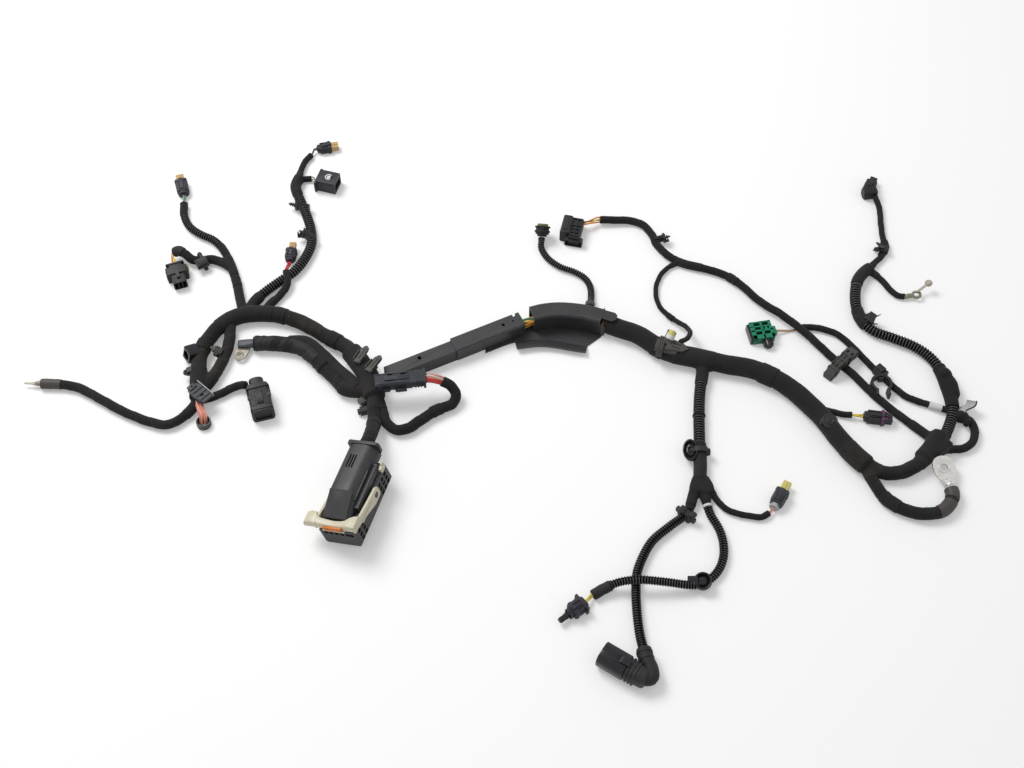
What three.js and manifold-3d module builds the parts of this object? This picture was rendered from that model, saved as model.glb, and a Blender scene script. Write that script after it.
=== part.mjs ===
// Vehicle wiring harness, laid out flat: taped and corrugated sleeves that branch from a rigid
// cable channel, with the connectors, terminals and clips on their ends. Millimetres, +Z up,
// the floor is z = 0 and the middle of the footprint is the origin.
import * as THREE from "three";
import { mergeVertices } from "three/addons/utils/BufferGeometryUtils.js";
import Module from "manifold-3d";

const wasm = await Module();
wasm.setup();

// Fits
const gap = 0.3; // between pieces that touch
const wall = 1.8; // moulded channel and shell walls
const floorSlack = 0.5; // under a sleeve that lies on the floor
const middleX = 4; // from the layout's own zero to the middle of the footprint
const middleY = -8;

// Sleeve and conduit diameters
const tailDia = 11.8;
const plugSleeveDia = 10.6;
const trunkDia = 20;
const hubDia = 26;
const backSleeveDia = 15;
const stemDia = 11;
const foldDia = 12;
const upperConduitDia = 13.6;
const upperTailDia = 8.6;
const innerSleeveDia = 10;
const ringLeadDia = 18.6;
const powerLoopDia = 13.4;
const ecuStemDia = 17;
const channelBundleDia = 13;
const sensorConduitDia = 9.2;
const rightTrunkDia = 24.6;
const rightArmDia = 17.4;
const junctionDia = 21;
const lugLeadDia = 15.2;
const upperRunDia = 10.4;
const thinLoopDia = 6.5;
const secondRunDia = 8.6;
const downBranchDia = 14.6;
const lowerConduitDia = 11.4;
const crossConduitDia = 10.8;
const shortSleeveDia = 7.8;
const sideLeadDia = 8;
const rightConduitDia = 14.4;
const topLeadDia = 8;
const groundLeadDia = 8.2;
const rightLoopDia = 10.2;
const wireDia = 2.4;
const sturdyDia = 16; // from here up a sleeve is drawn with ten sides

// Cable channel
const ductWidth = 17.6;
const ductHeight = 20;
const rightDuctWidth = ductWidth + 2 * (wall + gap);
const rightDuctHeight = ductHeight + wall + gap;
const ductHole = 5;
const coverWidth = 22;
const coverHeight = 29;
const trayLip = 15;
const trayLipRise = 8;

// Control unit connector
const ecuLength = 98;
const ecuWidth = 47;
const ecuDepth = 28;
const ecuRoll = 16;
const wireCoverWidth = 38;
const wireCoverRise = 19;
const leverThick = 3;
const leverHeight = 11;
const bowDepth = 9;
const pivotDia = 7;
const pivotAlong = 40;
const leverReach = ecuLength - pivotAlong - bowDepth; // pivot to the inside of the bow
const wireCoverEnd = pivotAlong + leverReach - 3;

// Power connector
const powerLength = 62;
const powerWidth = 19;
const powerHeight = 13;

// Terminals
const tailBladeLength = 13;
const ringHole = 6.4;
const ringOuter = 14;
const lugHole = 9;
const lugWidth = 26;
const lugLength = 33.5;
const lugThick = 3;
const groundHole = 6.4;
const groundRing = 13;

// Routes of the sleeves, in mm: x, y and the height that the sleeve is lifted off the floor
const routes = {
  tail: { dia: tailDia, points: [[-575, -1], [-552, -2], [-528, -7], [-501, -22], [-466, -43],
    [-428, -59], [-409, -62], [-393, -52], [-382, -38], [-377, -27]] },
  plugSleeve: { dia: plugSleeveDia, points: [[-372, -24], [-360, -21], [-348, -14.5], [-337.5, -7.8],
    [-327.7, -4.4, 2], [-318.8, -6.4, 5]] },
  trunk: { dia: trunkDia, points: [[-176, 22, 3], [-194, 47, 3], [-227, 71], [-256, 90], [-286, 103],
    [-314, 106], [-342, 101], [-362, 85], [-375, 64], [-381, 43], [-381, 22], [-379, 2],
    [-376, -26]] },
  hub: { dia: hubDia, points: [[-192, 44], [-180, 27], [-167, 4], [-160, -14], [-158, -26]] },
  backSleeve: { dia: backSleeveDia, points: [[-350, 92], [-348, 63], [-353, 33], [-361, 11],
    [-373, -12]] },
  stem: { dia: stemDia, points: [[-334, 104], [-343, 136], [-350, 162], [-363, 196], [-375, 219],
    [-390, 235], [-407, 244], [-424, 258], [-434, 278], [-437, 299]] },
  fold: { dia: foldDia, points: [[-360, 186], [-373, 195], [-388, 200], [-401, 198], [-411, 197, 3],
    [-421, 203, 7], [-430, 208, 8], [-437, 208, 5]] },
  upperConduit: { dia: upperConduitDia, points: [[-326, 104], [-325, 122], [-314, 140], [-295, 160],
    [-277, 177], [-266, 195], [-257, 225], [-260, 253], [-272, 289], [-282, 313], [-287, 331],
    [-283, 348]] },
  upperTail: { dia: upperTailDia, points: [[-285, 340, 2], [-283, 360], [-279, 378], [-271, 392]] },
  squareStub: { dia: upperTailDia, points: [[-286, 340, 2], [-277, 346], [-267, 347]] },
  innerSleeve: { dia: innerSleeveDia, points: [[-312, 106], [-302, 126], [-291, 140], [-283, 156, 3],
    [-285, 176, 6]] },
  ringLead: { dia: ringLeadDia, points: [[-316, 59], [-298, 59], [-282, 58], [-257, 52], [-233, 32],
    [-212, 8], [-196, -10], [-172, -14]] },
  powerLoop: { dia: powerLoopDia, points: [[-75, -9, 16], [-64, -13, 11], [-58, -22, 4], [-62, -31],
    [-70, -36], [-81, -41], [-92, -49], [-103, -58], [-116, -68], [-130, -70], [-142, -60],
    [-148, -43], [-155, -26]] },
  ecuStem: { dia: ecuStemDia, points: [[-158, -22, 3], [-158, -41, 1], [-157, -59, 2], [-157, -74, 9],
    [-158, -89, 18], [-160, -102, 24.6], [-163, -113, 27]] },
  channelBundle: { dia: channelBundleDia, points: [[-162, -2, 2.4], [-145, 6.9, 2.4],
    [-101, 28.6, 2.4], [-57, 50.2, 2.4], [-16, 70.4, 2.4], [24.5, 89.6, 2.4], [40, 95.5, 2.4],
    [60, 99.5, 2.4], [82, 100, 2.4], [104, 97, 2.4], [120, 92, 3], [131.9, 87.5, 4.6]] },
  sensorConduit: { dia: sensorConduitDia, points: [[109.6, 108.2, 9], [112, 122, 5], [114, 138],
    [113, 156], [106, 170], [93, 180], [74, 189], [58, 204], [50, 221, 0.6],
    [50.2, 228.6, 2.4], [50.9, 234.4, 5]] },
  rightTrunk: { dia: rightTrunkDia, points: [[133, 87, 0.3], [152, 79], [171, 70], [204, 45],
    [242, 34], [274, 25], [312, 16], [346, -4], [369, -28], [387, -52], [405, -85], [421, -110],
    [433, -124]] },
  rightArm: { dia: rightArmDia, points: [[430, -118, 2], [449, -131], [472, -132], [498, -119],
    [512, -104]] },
  junction: { dia: junctionDia, points: [[502, -114], [514, -101], [522, -90], [530, -80]] },
  lugLead: { dia: lugLeadDia, points: [[432, -122, 3], [442, -150], [452, -168], [470, -182],
    [494, -188], [514, -184], [526, -173], [530.5, -162], [530, -154]] },
  upperRun: { dia: upperRunDia, points: [[130, 268, 3], [156, 269, 1], [175, 268], [189, 260],
    [199, 244], [204, 228], [217, 209], [235, 195], [265, 185], [291, 174], [308, 159, 1],
    [332, 129, 2], [359, 103, 4.6], [374, 87, 5], [391, 69, 3], [414, 41], [439, 12], [454, -10],
    [478, -40], [503, -65], [522, -86, 2]] },
  thinLoop: { dia: thinLoopDia, points: [[231, 197], [217, 188], [206, 174], [199, 151],
    [202, 124], [217, 102, 2], [232, 83, 10], [236, 66, 19], [231, 54, 23.5], [221.5, 47.5, 24]] },
  secondRun: { dia: secondRunDia, points: [[382, 88], [399, 88], [425, 78], [441, 60], [460, 31],
    [476, 8], [489, -9], [500, -20], [521, -30], [550, -42, 1]] },
  downBranch: { dia: downBranchDia, points: [[250, 25], [249, 14], [246, -2], [243, -20],
    [240, -50], [238, -82], [237, -102], [236, -123], [234, -141]] },
  lowerConduit: { dia: lowerConduitDia, points: [[226, -158], [216, -185], [195, -203],
    [173, -223], [160, -246], [153, -266], [151, -288], [151, -316], [153, -343], [156, -361, 3],
    [158, -376.3, 8]] },
  crossConduit: { dia: crossConduitDia, points: [[238, -158], [243, -187], [251, -205],
    [255, -225], [253, -246], [244, -264], [228, -277], [211, -281, 4], [185, -280, 9],
    [153, -279, 12.6], [131, -280, 8], [114, -285, 1], [102, -292]] },
  shortSleeve: { dia: shortSleeveDia, points: [[245, -154, 3], [252, -166], [260, -177],
    [271, -184], [286, -188], [303, -190], [312, -185]] },
  sideLead: { dia: sideLeadDia, points: [[386, -36], [402, -41], [415, -45], [428, -48, 2]] },
  rightConduit: { dia: rightConduitDia, points: [[523, -95, 3], [532, -84, 2], [542, -68],
    [551, -46], [553, -28], [551, -6], [547, 19], [538, 38], [521, 55], [495, 69], [473, 80],
    [461, 95], [456, 118], [458, 143], [465, 165], [475, 178], [484, 185]] },
  topLead: { dia: topLeadDia, points: [[478, 180, 1], [491, 195], [503, 208], [510, 222],
    [509, 238], [510, 265], [512, 288], [511, 299, 1.5], [508.4, 310.2, 3]] },
  groundLead: { dia: groundLeadDia, points: [[482, 181, 0.6], [490, 175], [500, 160], [507, 147],
    [514, 140.5], [522, 138.5]] },
  rightLoop: { dia: rightLoopDia, points: [[520, -94, 3], [542, -97], [558, -95], [569, -86],
    [574, -72], [572, -58], [563, -51], [551, -50]] },
};

// Shapes

function solid(geometry) {
  geometry.deleteAttribute("normal");
  geometry.deleteAttribute("uv");
  const merged = mergeVertices(geometry, 1e-4);
  return new wasm.Manifold(new wasm.Mesh({
    numProp: 3,
    vertProperties: Float32Array.from(merged.attributes.position.array),
    triVerts: Uint32Array.from(merged.index.array),
  }));
}

function shell(body) {
  const mesh = body.getMesh();
  const geometry = new THREE.BufferGeometry();
  geometry.setAttribute("position", new THREE.BufferAttribute(mesh.vertProperties, 3));
  geometry.setIndex(new THREE.BufferAttribute(mesh.triVerts, 1));
  return geometry;
}

function join(first, ...others) {
  return others.reduce((sum, other) => sum.add(other), first);
}

function cut(first, ...others) {
  return others.reduce((rest, other) => rest.subtract(other), first);
}

function placement({ x = 0, y = 0, z = 0, yaw = 0, pitch = 0, roll = 0 }) {
  const turn = new THREE.Euler(
    THREE.MathUtils.degToRad(roll),
    THREE.MathUtils.degToRad(pitch),
    THREE.MathUtils.degToRad(yaw),
    "ZYX",
  );
  const quaternion = new THREE.Quaternion().setFromEuler(turn);
  return new THREE.Matrix4().compose(new THREE.Vector3(x, y, z), quaternion, new THREE.Vector3(1, 1, 1));
}

function moved(body, place) {
  const geometry = shell(body);
  geometry.applyMatrix4(placement(place));
  return solid(geometry);
}

// A flat outline of [y, z] points drawn out along X from x0 to x1
function prism(outline, x0, x1) {
  const shape = new THREE.Shape(outline.map(([y, z]) => new THREE.Vector2(y, z)));
  const geometry = new THREE.ExtrudeGeometry(shape, { depth: x1 - x0, bevelEnabled: false });
  geometry.applyMatrix4(new THREE.Matrix4().makeBasis(
    new THREE.Vector3(0, 1, 0), new THREE.Vector3(0, 0, 1), new THREE.Vector3(1, 0, 0)));
  geometry.translate(x0, 0, 0);
  return solid(geometry);
}

// A flat outline of [x, y] points raised from z0 to z1
function slab(outline, z0, z1) {
  const shape = new THREE.Shape(outline.map(([x, y]) => new THREE.Vector2(x, y)));
  const geometry = new THREE.ExtrudeGeometry(shape, { depth: z1 - z0, bevelEnabled: false });
  geometry.translate(0, 0, z0);
  return solid(geometry);
}

// A bar along X with chamfered long edges, centred on Y
function bar(x0, x1, width, z0, z1, chamfer = 1) {
  const h = width / 2;
  return prism([[-h + chamfer, z0], [h - chamfer, z0], [h, z0 + chamfer], [h, z1 - chamfer],
    [h - chamfer, z1], [-h + chamfer, z1], [-h, z1 - chamfer], [-h, z0 + chamfer]], x0, x1);
}

function box(x0, x1, y0, y1, z0, z1) {
  const geometry = new THREE.BoxGeometry(x1 - x0, y1 - y0, z1 - z0);
  geometry.translate((x0 + x1) / 2, (y0 + y1) / 2, (z0 + z1) / 2);
  return solid(geometry);
}

// A round rod along X
function rod(dia, x0, x1, y, z, sides = 12) {
  const geometry = new THREE.CylinderGeometry(dia / 2, dia / 2, x1 - x0, sides);
  geometry.rotateZ(Math.PI / 2);
  geometry.translate((x0 + x1) / 2, y, z);
  return solid(geometry);
}

// A round post along Z
function post(dia, z0, z1, x, y, sides = 16) {
  const geometry = new THREE.CylinderGeometry(dia / 2, dia / 2, z1 - z0, sides);
  geometry.rotateX(Math.PI / 2);
  geometry.translate(x, y, (z0 + z1) / 2);
  return solid(geometry);
}

function curveOf(route) {
  const points = route.points.map(([x, y, lift = 0]) =>
    new THREE.Vector3(x, y, route.dia / 2 + floorSlack + lift));
  return new THREE.CatmullRomCurve3(points, false, "centripetal");
}

function ring(dia, sides) {
  const corners = Array.from({ length: sides }, (_, i) => {
    const angle = (2 * Math.PI * i) / sides;
    return new THREE.Vector2((dia / 2) * Math.cos(angle), (dia / 2) * Math.sin(angle));
  });
  return new THREE.Shape(corners);
}

// A closed tube along a curve, with a step about every two diameters
function tube(curve, dia, pitch = 1.9 * dia, sides = 8) {
  const steps = Math.max(3, Math.round(curve.getLength() / pitch));
  return solid(new THREE.ExtrudeGeometry(ring(dia, sides), {
    steps, extrudePath: curve, bevelEnabled: false,
  }));
}

function sleeve(name) {
  const { dia } = routes[name];
  return tube(curveOf(routes[name]), dia, 1.9 * dia, dia < sturdyDia ? 8 : 10);
}

// The room that a sleeve takes up, with the gap that its neighbours keep
function room(name) {
  const { dia } = routes[name];
  return tube(curveOf(routes[name]), dia + 2 * gap, 1.9 * dia, dia < sturdyDia ? 8 : 10);
}

// A profile of [side, up] points drawn along a level curve; side is to the left of travel
function swept(profile, curve, steps) {
  const shape = new THREE.Shape(profile.map(([side, up]) => new THREE.Vector2(-up, side)));
  return solid(new THREE.ExtrudeGeometry(shape, { steps, extrudePath: curve, bevelEnabled: false }));
}

function levelCurve(points) {
  return new THREE.CatmullRomCurve3(points.map(([x, y]) => new THREE.Vector3(x, y, 0)), false,
    "centripetal");
}

// End of a sleeve: where it stops and which way it points
function endOf(name, u = 1) {
  const curve = curveOf(routes[name]);
  const at = curve.getPointAt(u);
  const heading = curve.getTangentAt(u).multiplyScalar(u === 1 ? 1 : -1);
  return { at, heading };
}

// A connector's seat: x, y and height of the middle of its wire entry, and its heading
function entry({ x, y, yaw }, height) {
  const turn = THREE.MathUtils.degToRad(yaw);
  return {
    at: new THREE.Vector3(x, y, height),
    heading: new THREE.Vector3(Math.cos(turn), Math.sin(turn), 0),
  };
}

// Bare wires, side by side, from inside the end of a sleeve to the gap before a wire entry
function wires(name, to, count = 2, u = 1, dia = wireDia, via = []) {
  const from = endOf(name, u);
  const strands = Array.from({ length: count }, (_, i) => {
    const side = (i - (count - 1) / 2) * dia * 0.85;
    const offset = (end, along) => end.at.clone().addScaledVector(end.heading, along)
      .add(new THREE.Vector3(-end.heading.y, end.heading.x, 0).normalize().multiplyScalar(side));
    const line = new THREE.CatmullRomCurve3([
      offset(from, -4), offset(from, 1.5), ...via.map((point) => point.clone()
        .add(new THREE.Vector3(0, side, 0))), offset(to, -3), offset(to, -gap),
    ], false, "centripetal");
    return tube(line, dia, via.length ? 6 : 8, 6);
  });
  return join(...strands);
}

const looks = {
  cloth: [0x222326, 0.92],
  woven: [0x26272b, 0.85],
  conduit: [0x15171a, 0.45],
  plastic: [0x2b2e33, 0.55],
  duct: [0x3a3c40, 0.6],
  rubber: [0x202124, 0.8],
  cream: [0xd7d0b4, 0.5],
  orange: [0xc86e14, 0.5],
  green: [0x1e8c64, 0.5],
  wire: [0xe59a2a, 0.5],
  tin: [0xc9c7c0, 0.4, 0.9],
};

const group = new THREE.Group();
group.name = "wiring_harness";
group.position.set(middleX, middleY, 0);

function piece(name, body, look, place = {}) {
  const [color, roughness, metalness = 0] = looks[look];
  const mesh = new THREE.Mesh(shell(body), new THREE.MeshStandardMaterial({
    color, roughness, metalness,
  }));
  mesh.name = name;
  mesh.applyMatrix4(placement(place));
  group.add(mesh);
  return mesh;
}

// Left side: trunk, knot and branches

// Taped trunk with the wrap at the hub, the clip plates on the hub and the square cap
function leftTrunk() {
  const capSide = 19;
  const cap = moved(cut(bar(0, 15, capSide, 0, capSide, 3), rod(11, 12, 16, 0, capSide / 2)),
    { x: -388, y: 42, z: 3, yaw: 215, pitch: -18 });
  const plate = join(bar(0, 17, 13, 0, 3, 0.8), box(2, 5, -6.5, 6.5, 2, 5), box(9, 12, -6.5, 6.5, 2, 5));
  const hubTop = hubDia - 2.5;
  const plates = [
    moved(plate, { x: -183, y: 19, z: hubTop - 2, yaw: 66, pitch: -12 }),
    moved(plate, { x: -167, y: 8, z: hubTop - 2, yaw: 58, pitch: -10 }),
  ];
  const lowClip = moved(bar(-5, 8, 12, 0, 9, 1), { x: -173, y: -31, z: 1, yaw: 205 });
  return join(sleeve("trunk"), sleeve("hub"), cap, ...plates, lowClip);
}

function plateClip() {
  const plate = join(
    bar(-15, 15, 17, 0, 3.6, 0.8),
    box(-15, 15, 8.2, 9.8, -1, 6),
    bar(-9, 3, 9, -6, 2, 0.8),
    ...[-9, -2, 5].map((x) => box(x, x + 3, -7, 7, 3, 4.6)),
  );
  const seated = moved(plate, { x: -372, y: -25, z: trunkDia - 0.4, yaw: -42 });
  return cut(seated, room("trunk"), room("plugSleeve"), room("tail"));
}

// Round rubber cup that seals the parked wires of the knot
const cupSeat = { x: -366, y: -58, yaw: -80 };
const cupDia = 18;
const cupHeight = 9;

function sealingCup() {
  const cup = cut(post(cupDia, 0, cupHeight, 0, 0), post(cupDia - 2 * wall, 3, cupHeight + 1, 0, 0));
  const from = endOf("trunk");
  const strands = [-2.6, 0, 2.6].map((side) => {
    const line = new THREE.CatmullRomCurve3([
      from.at.clone().add(new THREE.Vector3(side, -1.2, 0)),
      from.at.clone().add(new THREE.Vector3(side * 1.1, -8, 1)),
      new THREE.Vector3(cupSeat.x + side, cupSeat.y + 5, cupHeight + 3),
      new THREE.Vector3(cupSeat.x + side, cupSeat.y, 1),
    ], false, "centripetal");
    return tube(line, wireDia + 0.4, 10, 6);
  });
  return cut(join(moved(cup, cupSeat), ...strands), room("trunk"), room("tail"));
}

// Crimped blade on the end of the left tail
function tailTerminal() {
  const { at } = endOf("tail", 0);
  const barrel = rod(6, gap, 8, 0, 0, 10);
  const blade = box(7, 8 + tailBladeLength, -2.6, 2.6, -0.6, 0.6);
  const hole = post(2, -2, 2, 4 + tailBladeLength, 0, 8);
  return piece("tail_terminal", cut(join(barrel, blade), hole), "tin",
    { x: at.x, y: at.y, z: at.z, yaw: 178 });
}

// Small two-way sensor plug: seal cap, body, collar, lock tongue and a pale front with two holes
function sensorPlug({ length, width, height, tipLength, tipWidth, tipHeight }) {
  const front = length - tipLength;
  const middle = height / 2;
  const body = join(
    bar(0, 5, width - 4, 1.6, height - 1.6, 1.2),
    bar(4, front, width - 1.6, 0.8, height - 0.8, 1.2),
    bar(front - 5, front - 1.5, width, 0, height, 1.4),
    bar(front - 1, length, tipWidth, middle - tipHeight / 2, middle + tipHeight / 2, 0.8),
    box(7, front - 1, -2.4, 2.4, height - 2, height + 2),
  );
  const holes = [-1, 1].map((side) =>
    box(length - 4, length + 1, side * 2.4 - 0.9, side * 2.4 + 0.9, middle - 0.9, middle + 0.9));
  const grooves = [-1, 1].map((side) =>
    box(6, 8, side * width / 2 - 1.6, side * width / 2 + 1.6, 2, height - 2));
  return cut(body, ...holes, ...grooves);
}

const twoPin = { length: 36, width: 17, height: 14, tipLength: 10, tipWidth: 11, tipHeight: 8 };
const twoPinSeat = { x: -439, y: 315, yaw: 107 };
const upperPlug = { length: 30, width: 15, height: 13, tipLength: 10, tipWidth: 11, tipHeight: 8 };
const upperSeat = { x: -263, y: 402, yaw: 12 };
const innerPlug = { length: 31, width: 15, height: 13, tipLength: 11, tipWidth: 9, tipHeight: 7 };
const innerSeat = { x: -283, y: 194, yaw: 86 };
const innerLift = 3;

// Three-way plug: rear flange, wide collar, narrow ribbed skirt and a side lock tab
const threeWaySeat = { x: -433, y: 186, yaw: -70 };
const threeWayHeight = 18;

function threeWayPlug() {
  const body = join(
    bar(0, 2.4, 24, 0, threeWayHeight, 1),
    bar(2, 8, 18, 1, threeWayHeight - 1, 1.4),
    bar(7, 19, 28, 0, threeWayHeight, 1.4),
    bar(18, 34, 18, 2, threeWayHeight - 2, 1.4),
    box(3, 13, 10, 15.5, 6, 12),
  );
  const grooves = [-3, 3].map((y) => box(20, 35, y - 0.8, y + 0.8, threeWayHeight - 3.4, threeWayHeight));
  return cut(body, ...grooves);
}

// Square plug with a U-shaped lock ring on top
const squareSeat = { x: -257, y: 340.5, yaw: -16 };
const squareWidth = 24;
const squareHeight = 20;

function squarePlug() {
  const body = join(
    bar(0, 3, squareWidth + 5, 0, squareHeight - 2, 0.8),
    bar(2.5, 29, squareWidth, 0, squareHeight, 1.4),
  );
  const ringWell = post(11, squareHeight - 3, squareHeight + 1, 17, 0, 16);
  const mouth = box(19, 30, -squareWidth / 2 + 3, squareWidth / 2 - 3, 4, squareHeight - 5);
  return join(cut(body, ringWell, mouth), post(6, squareHeight - 4, squareHeight, 17, 0, 12));
}

// Angled plug: cable elbow at the rear, ribbed body and an open mouth
const elbowSeat = { x: -307.5, y: 1, yaw: -74 };
const elbowHeight = 24;

function elbowPlug() {
  const width = 26;
  const body = join(
    bar(0, 15, 19, 2, 20, 3),
    bar(12, 55, width, 0, elbowHeight, 2.4),
    bar(18, 21, width + 3, 0, elbowHeight + 1.5, 2.4),
    bar(49, 53, width + 2, 0, elbowHeight + 1, 2.4),
    box(25, 44, -4, 4, elbowHeight - 1, elbowHeight + 3),
  );
  const mouth = box(42, 56, -width / 2 + 3, width / 2 - 3, 4, elbowHeight - 4);
  const block = box(41, 45, -5, 5, 8, elbowHeight - 8);
  return join(cut(body, mouth), block);
}

// Battery ring terminal: barrel and flat ring
function ringTerminal() {
  const { at } = endOf("ringLead", 0);
  const barrel = rod(11, 3.2, 12, 0, 0, 12);
  const neck = slab([[10, -4], [20, -3.4], [20, 3.4], [10, 4]], -1.4, 0.6);
  const ringPlate = post(ringOuter, -1.4, 0.6, 22, 0);
  const hole = post(ringHole, -4, 3, 22, 0, 16);
  return piece("ring_terminal", cut(join(barrel, neck, ringPlate), hole), "tin",
    { x: at.x, y: at.y, z: at.z, yaw: 205, pitch: 14 });
}

// Power plug lying on the hub, with ribbed rear, top rail and side latches
const powerSeat = { x: -95, y: -11, z: hubDia + gap, yaw: 187 };

function powerPlug() {
  const h = powerHeight;
  const body = join(
    bar(0, 3, powerWidth + 3, 0, h + 1, 1),
    bar(2, 18, powerWidth - 1.5, 0.6, h, 1.4),
    bar(17, powerLength, powerWidth, 0, h, 1.6),
    ...[5, 8.5, 12].map((x) => bar(x, x + 1.6, powerWidth + 0.6, 0.4, h + 0.6, 1.4)),
    box(20, 50, -3, 3, h - 1, h + 1.6),
    box(24, 38, 8, 13.5, 1, 6),
    box(44, 52, 8, 12, 1, 6),
  );
  const slots = [24, 40].map((x) => box(x, x + 6, -6.5, -4.5, h - 1.5, h + 1));
  return cut(body, ...slots);
}

// Control unit connector

const ecuSeat = {
  x: -152, y: -134, z: (ecuWidth / 2) * Math.sin(THREE.MathUtils.degToRad(ecuRoll)),
  yaw: -108, roll: ecuRoll,
};

function ecuHousing() {
  const half = ecuWidth / 2;
  const body = join(
    bar(0, ecuLength, ecuWidth, 0, ecuDepth, 2),
    bar(2, ecuLength - 2, ecuWidth - 8, ecuDepth - 1, ecuDepth, 0.4),
    ...[-1, 1].map((side) => {
      const boss = rod(pivotDia, 0, leverThick + 1.4, 0, 0, 14);
      return moved(boss, { x: pivotAlong, y: side * (half - 1), z: ecuDepth - 6, yaw: side * 90 });
    }),
  );
  const sideCells = [6, 14, 22, ecuLength - 22, ecuLength - 13].flatMap((x) => [3, 10, 17].map((z) =>
    box(x, x + 5.5, half - 2.4, half + 1, z, z + 5)));
  const endCells = [-18, -11, -4, 3, 10, 16].map((y) =>
    box(ecuLength - 2.4, ecuLength + 1, y, y + 5, ecuDepth - 9, ecuDepth - 4));
  return cut(body, ...sideCells, ...endCells);
}

// Wire cover: a convex hood, lower at the lever end, open where the trunk stem comes in
function wireCover() {
  const half = wireCoverWidth / 2;
  const base = ecuDepth + gap;
  const top = base + wireCoverRise;
  const outline = [[-half, base], [half, base], [half - 1, base + 7], [half - 6, top - 3.5],
    [half - 13, top], [-half + 7, top - 1], [-half + 1, top - 6]];
  const flange = bar(-15, -11, wireCoverWidth + 3, base + 2, top + 1, 1.5);
  const slope = moved(box(0, 60, -60, 60, 0, 40), { x: wireCoverEnd - 30, z: top, pitch: 21 });
  const stemHole = box(-16, -6, -12, 12, base + 3, top - 4);
  const vents = [-9, -5.5, -2].map((y) => box(6, 22, y, y + 1.6, top - 2, top + 1));
  const ridge = bar(8, wireCoverEnd - 16, 6, base, base + 9, 1.5);
  const hood = cut(join(prism(outline, -12, wireCoverEnd), flange), slope, stemHole, ...vents);
  return join(moved(hood, { y: -4 }), moved(ridge, { y: 17.6 }));
}

// Locking lever: two arms on the pivots and a bow across the end of the cover
function lever() {
  const inner = ecuWidth / 2 + gap;
  const outer = inner + leverThick;
  const pivotZ = ecuDepth - 6;
  const bowStart = pivotAlong + leverReach;
  const bowZ = ecuDepth + 2 * gap;
  const armOutline = [[pivotAlong - 8, pivotZ - 7], [pivotAlong + 8, pivotZ - 7],
    [bowStart + 2, bowZ], [ecuLength, bowZ], [ecuLength, bowZ + leverHeight],
    [pivotAlong + 6, pivotZ + 9], [pivotAlong - 8, pivotZ + 7]];
  const arm = prismAcross(armOutline, 0, leverThick);
  const eye = prismAcross(circleOutline(pivotDia + 2 * gap, pivotAlong, pivotZ, 14), -1, leverThick + 1);
  const arms = [-outer, inner].map((y) => moved(cut(arm, eye), { y }));
  const bow = box(bowStart, ecuLength, -outer, outer, bowZ, bowZ + leverHeight);
  const grip = bar(bowStart - 4, ecuLength, 16, bowZ, bowZ + leverHeight, 3);
  const rail = box(ecuLength - 1, ecuLength + 2, -16, 12, bowZ, bowZ + 2);
  return join(...arms, bow, moved(grip, { y: -outer - 6 }), rail);
}

function lockSlide() {
  const x = ecuLength + gap;
  const z = ecuDepth + 2 * gap + 2 + gap;
  return box(x, x + 2.4, -14, 10, z, z + 6);
}

function circleOutline(dia, x, z, sides) {
  return Array.from({ length: sides }, (_, i) => {
    const angle = (2 * Math.PI * i) / sides;
    return [x + (dia / 2) * Math.cos(angle), z + (dia / 2) * Math.sin(angle)];
  });
}

// A flat outline of [x, z] points drawn out along Y from y0 to y1
function prismAcross(outline, y0, y1) {
  const shape = new THREE.Shape(outline.map(([x, z]) => new THREE.Vector2(x, z)));
  const geometry = new THREE.ExtrudeGeometry(shape, { depth: y1 - y0, bevelEnabled: false });
  geometry.rotateX(Math.PI / 2);
  geometry.translate(0, y1, 0);
  return solid(geometry);
}

// Cable channel

const ductSeat = { x: -145, y: 7, yaw: 26.2 };
const ductLength = 98;
const rightDuctStart = ductLength - 6;
const rightDuctLength = 96;

function leftDuct() {
  const half = ductWidth / 2;
  const outside = box(0, ductLength, -half, half, 0, ductHeight);
  const inside = box(-1, ductLength + 1, -half + wall, half - wall, wall, ductHeight - wall);
  return cut(outside, inside, post(ductHole, ductHeight - 3, ductHeight + 1, 46, 2, 12));
}

function rightDuct() {
  const half = rightDuctWidth / 2;
  const bottom = wall + gap;
  const start = rightDuctStart;
  const end = start + rightDuctLength;
  const outside = prism([[-half, bottom], [half, bottom], [half, rightDuctHeight - 2.4],
    [half - 2.4, rightDuctHeight], [-half, rightDuctHeight]].map(([y, z]) => [-y, z]).reverse(), start, end);
  const inside = box(start - 1, end + 1, -half + wall, half - wall, bottom - 1, rightDuctHeight - wall);
  const notch = box(end - 9, end - 5, half - 4, half + 1, rightDuctHeight - 6, rightDuctHeight + 1);
  const holes = [[end - 26, 4.4], [end - 12, 2.6]].map(([x, dia]) =>
    post(dia, rightDuctHeight - 4, rightDuctHeight + 1, x, 1, 12));
  return cut(outside, inside, notch, ...holes);
}

const coverRoute = [[36, 93.6], [50, 98], [67, 100.4], [84, 99.8], [104, 96.6], [126, 89.5]];
const trayFront = [[-23, 50], [15, 67], [45, 71], [67, 69], [90, 64], [107, 61]];
const trayBack = [[104, 109], [84, 112], [67, 112], [50, 110], [22, 99], [-22, 77]];

// Curved lid: top, front and back walls, open below, with a tongue over the trunk
function curvedLid() {
  const half = coverWidth / 2;
  const bottom = wall + gap;
  const top = coverHeight;
  const profile = [[-half, bottom], [-half + wall, bottom], [-half + wall, top - wall],
    [half - wall, top - wall], [half - wall, bottom], [half, bottom], [half, top], [-half, top]];
  const lid = swept(profile, levelCurve(coverRoute), 14);
  const tongue = moved(box(-2, 18, -5, 9, top - 1.5, top), { x: 126, y: 89.5, yaw: -20 });
  return join(lid, tongue);
}

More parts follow.
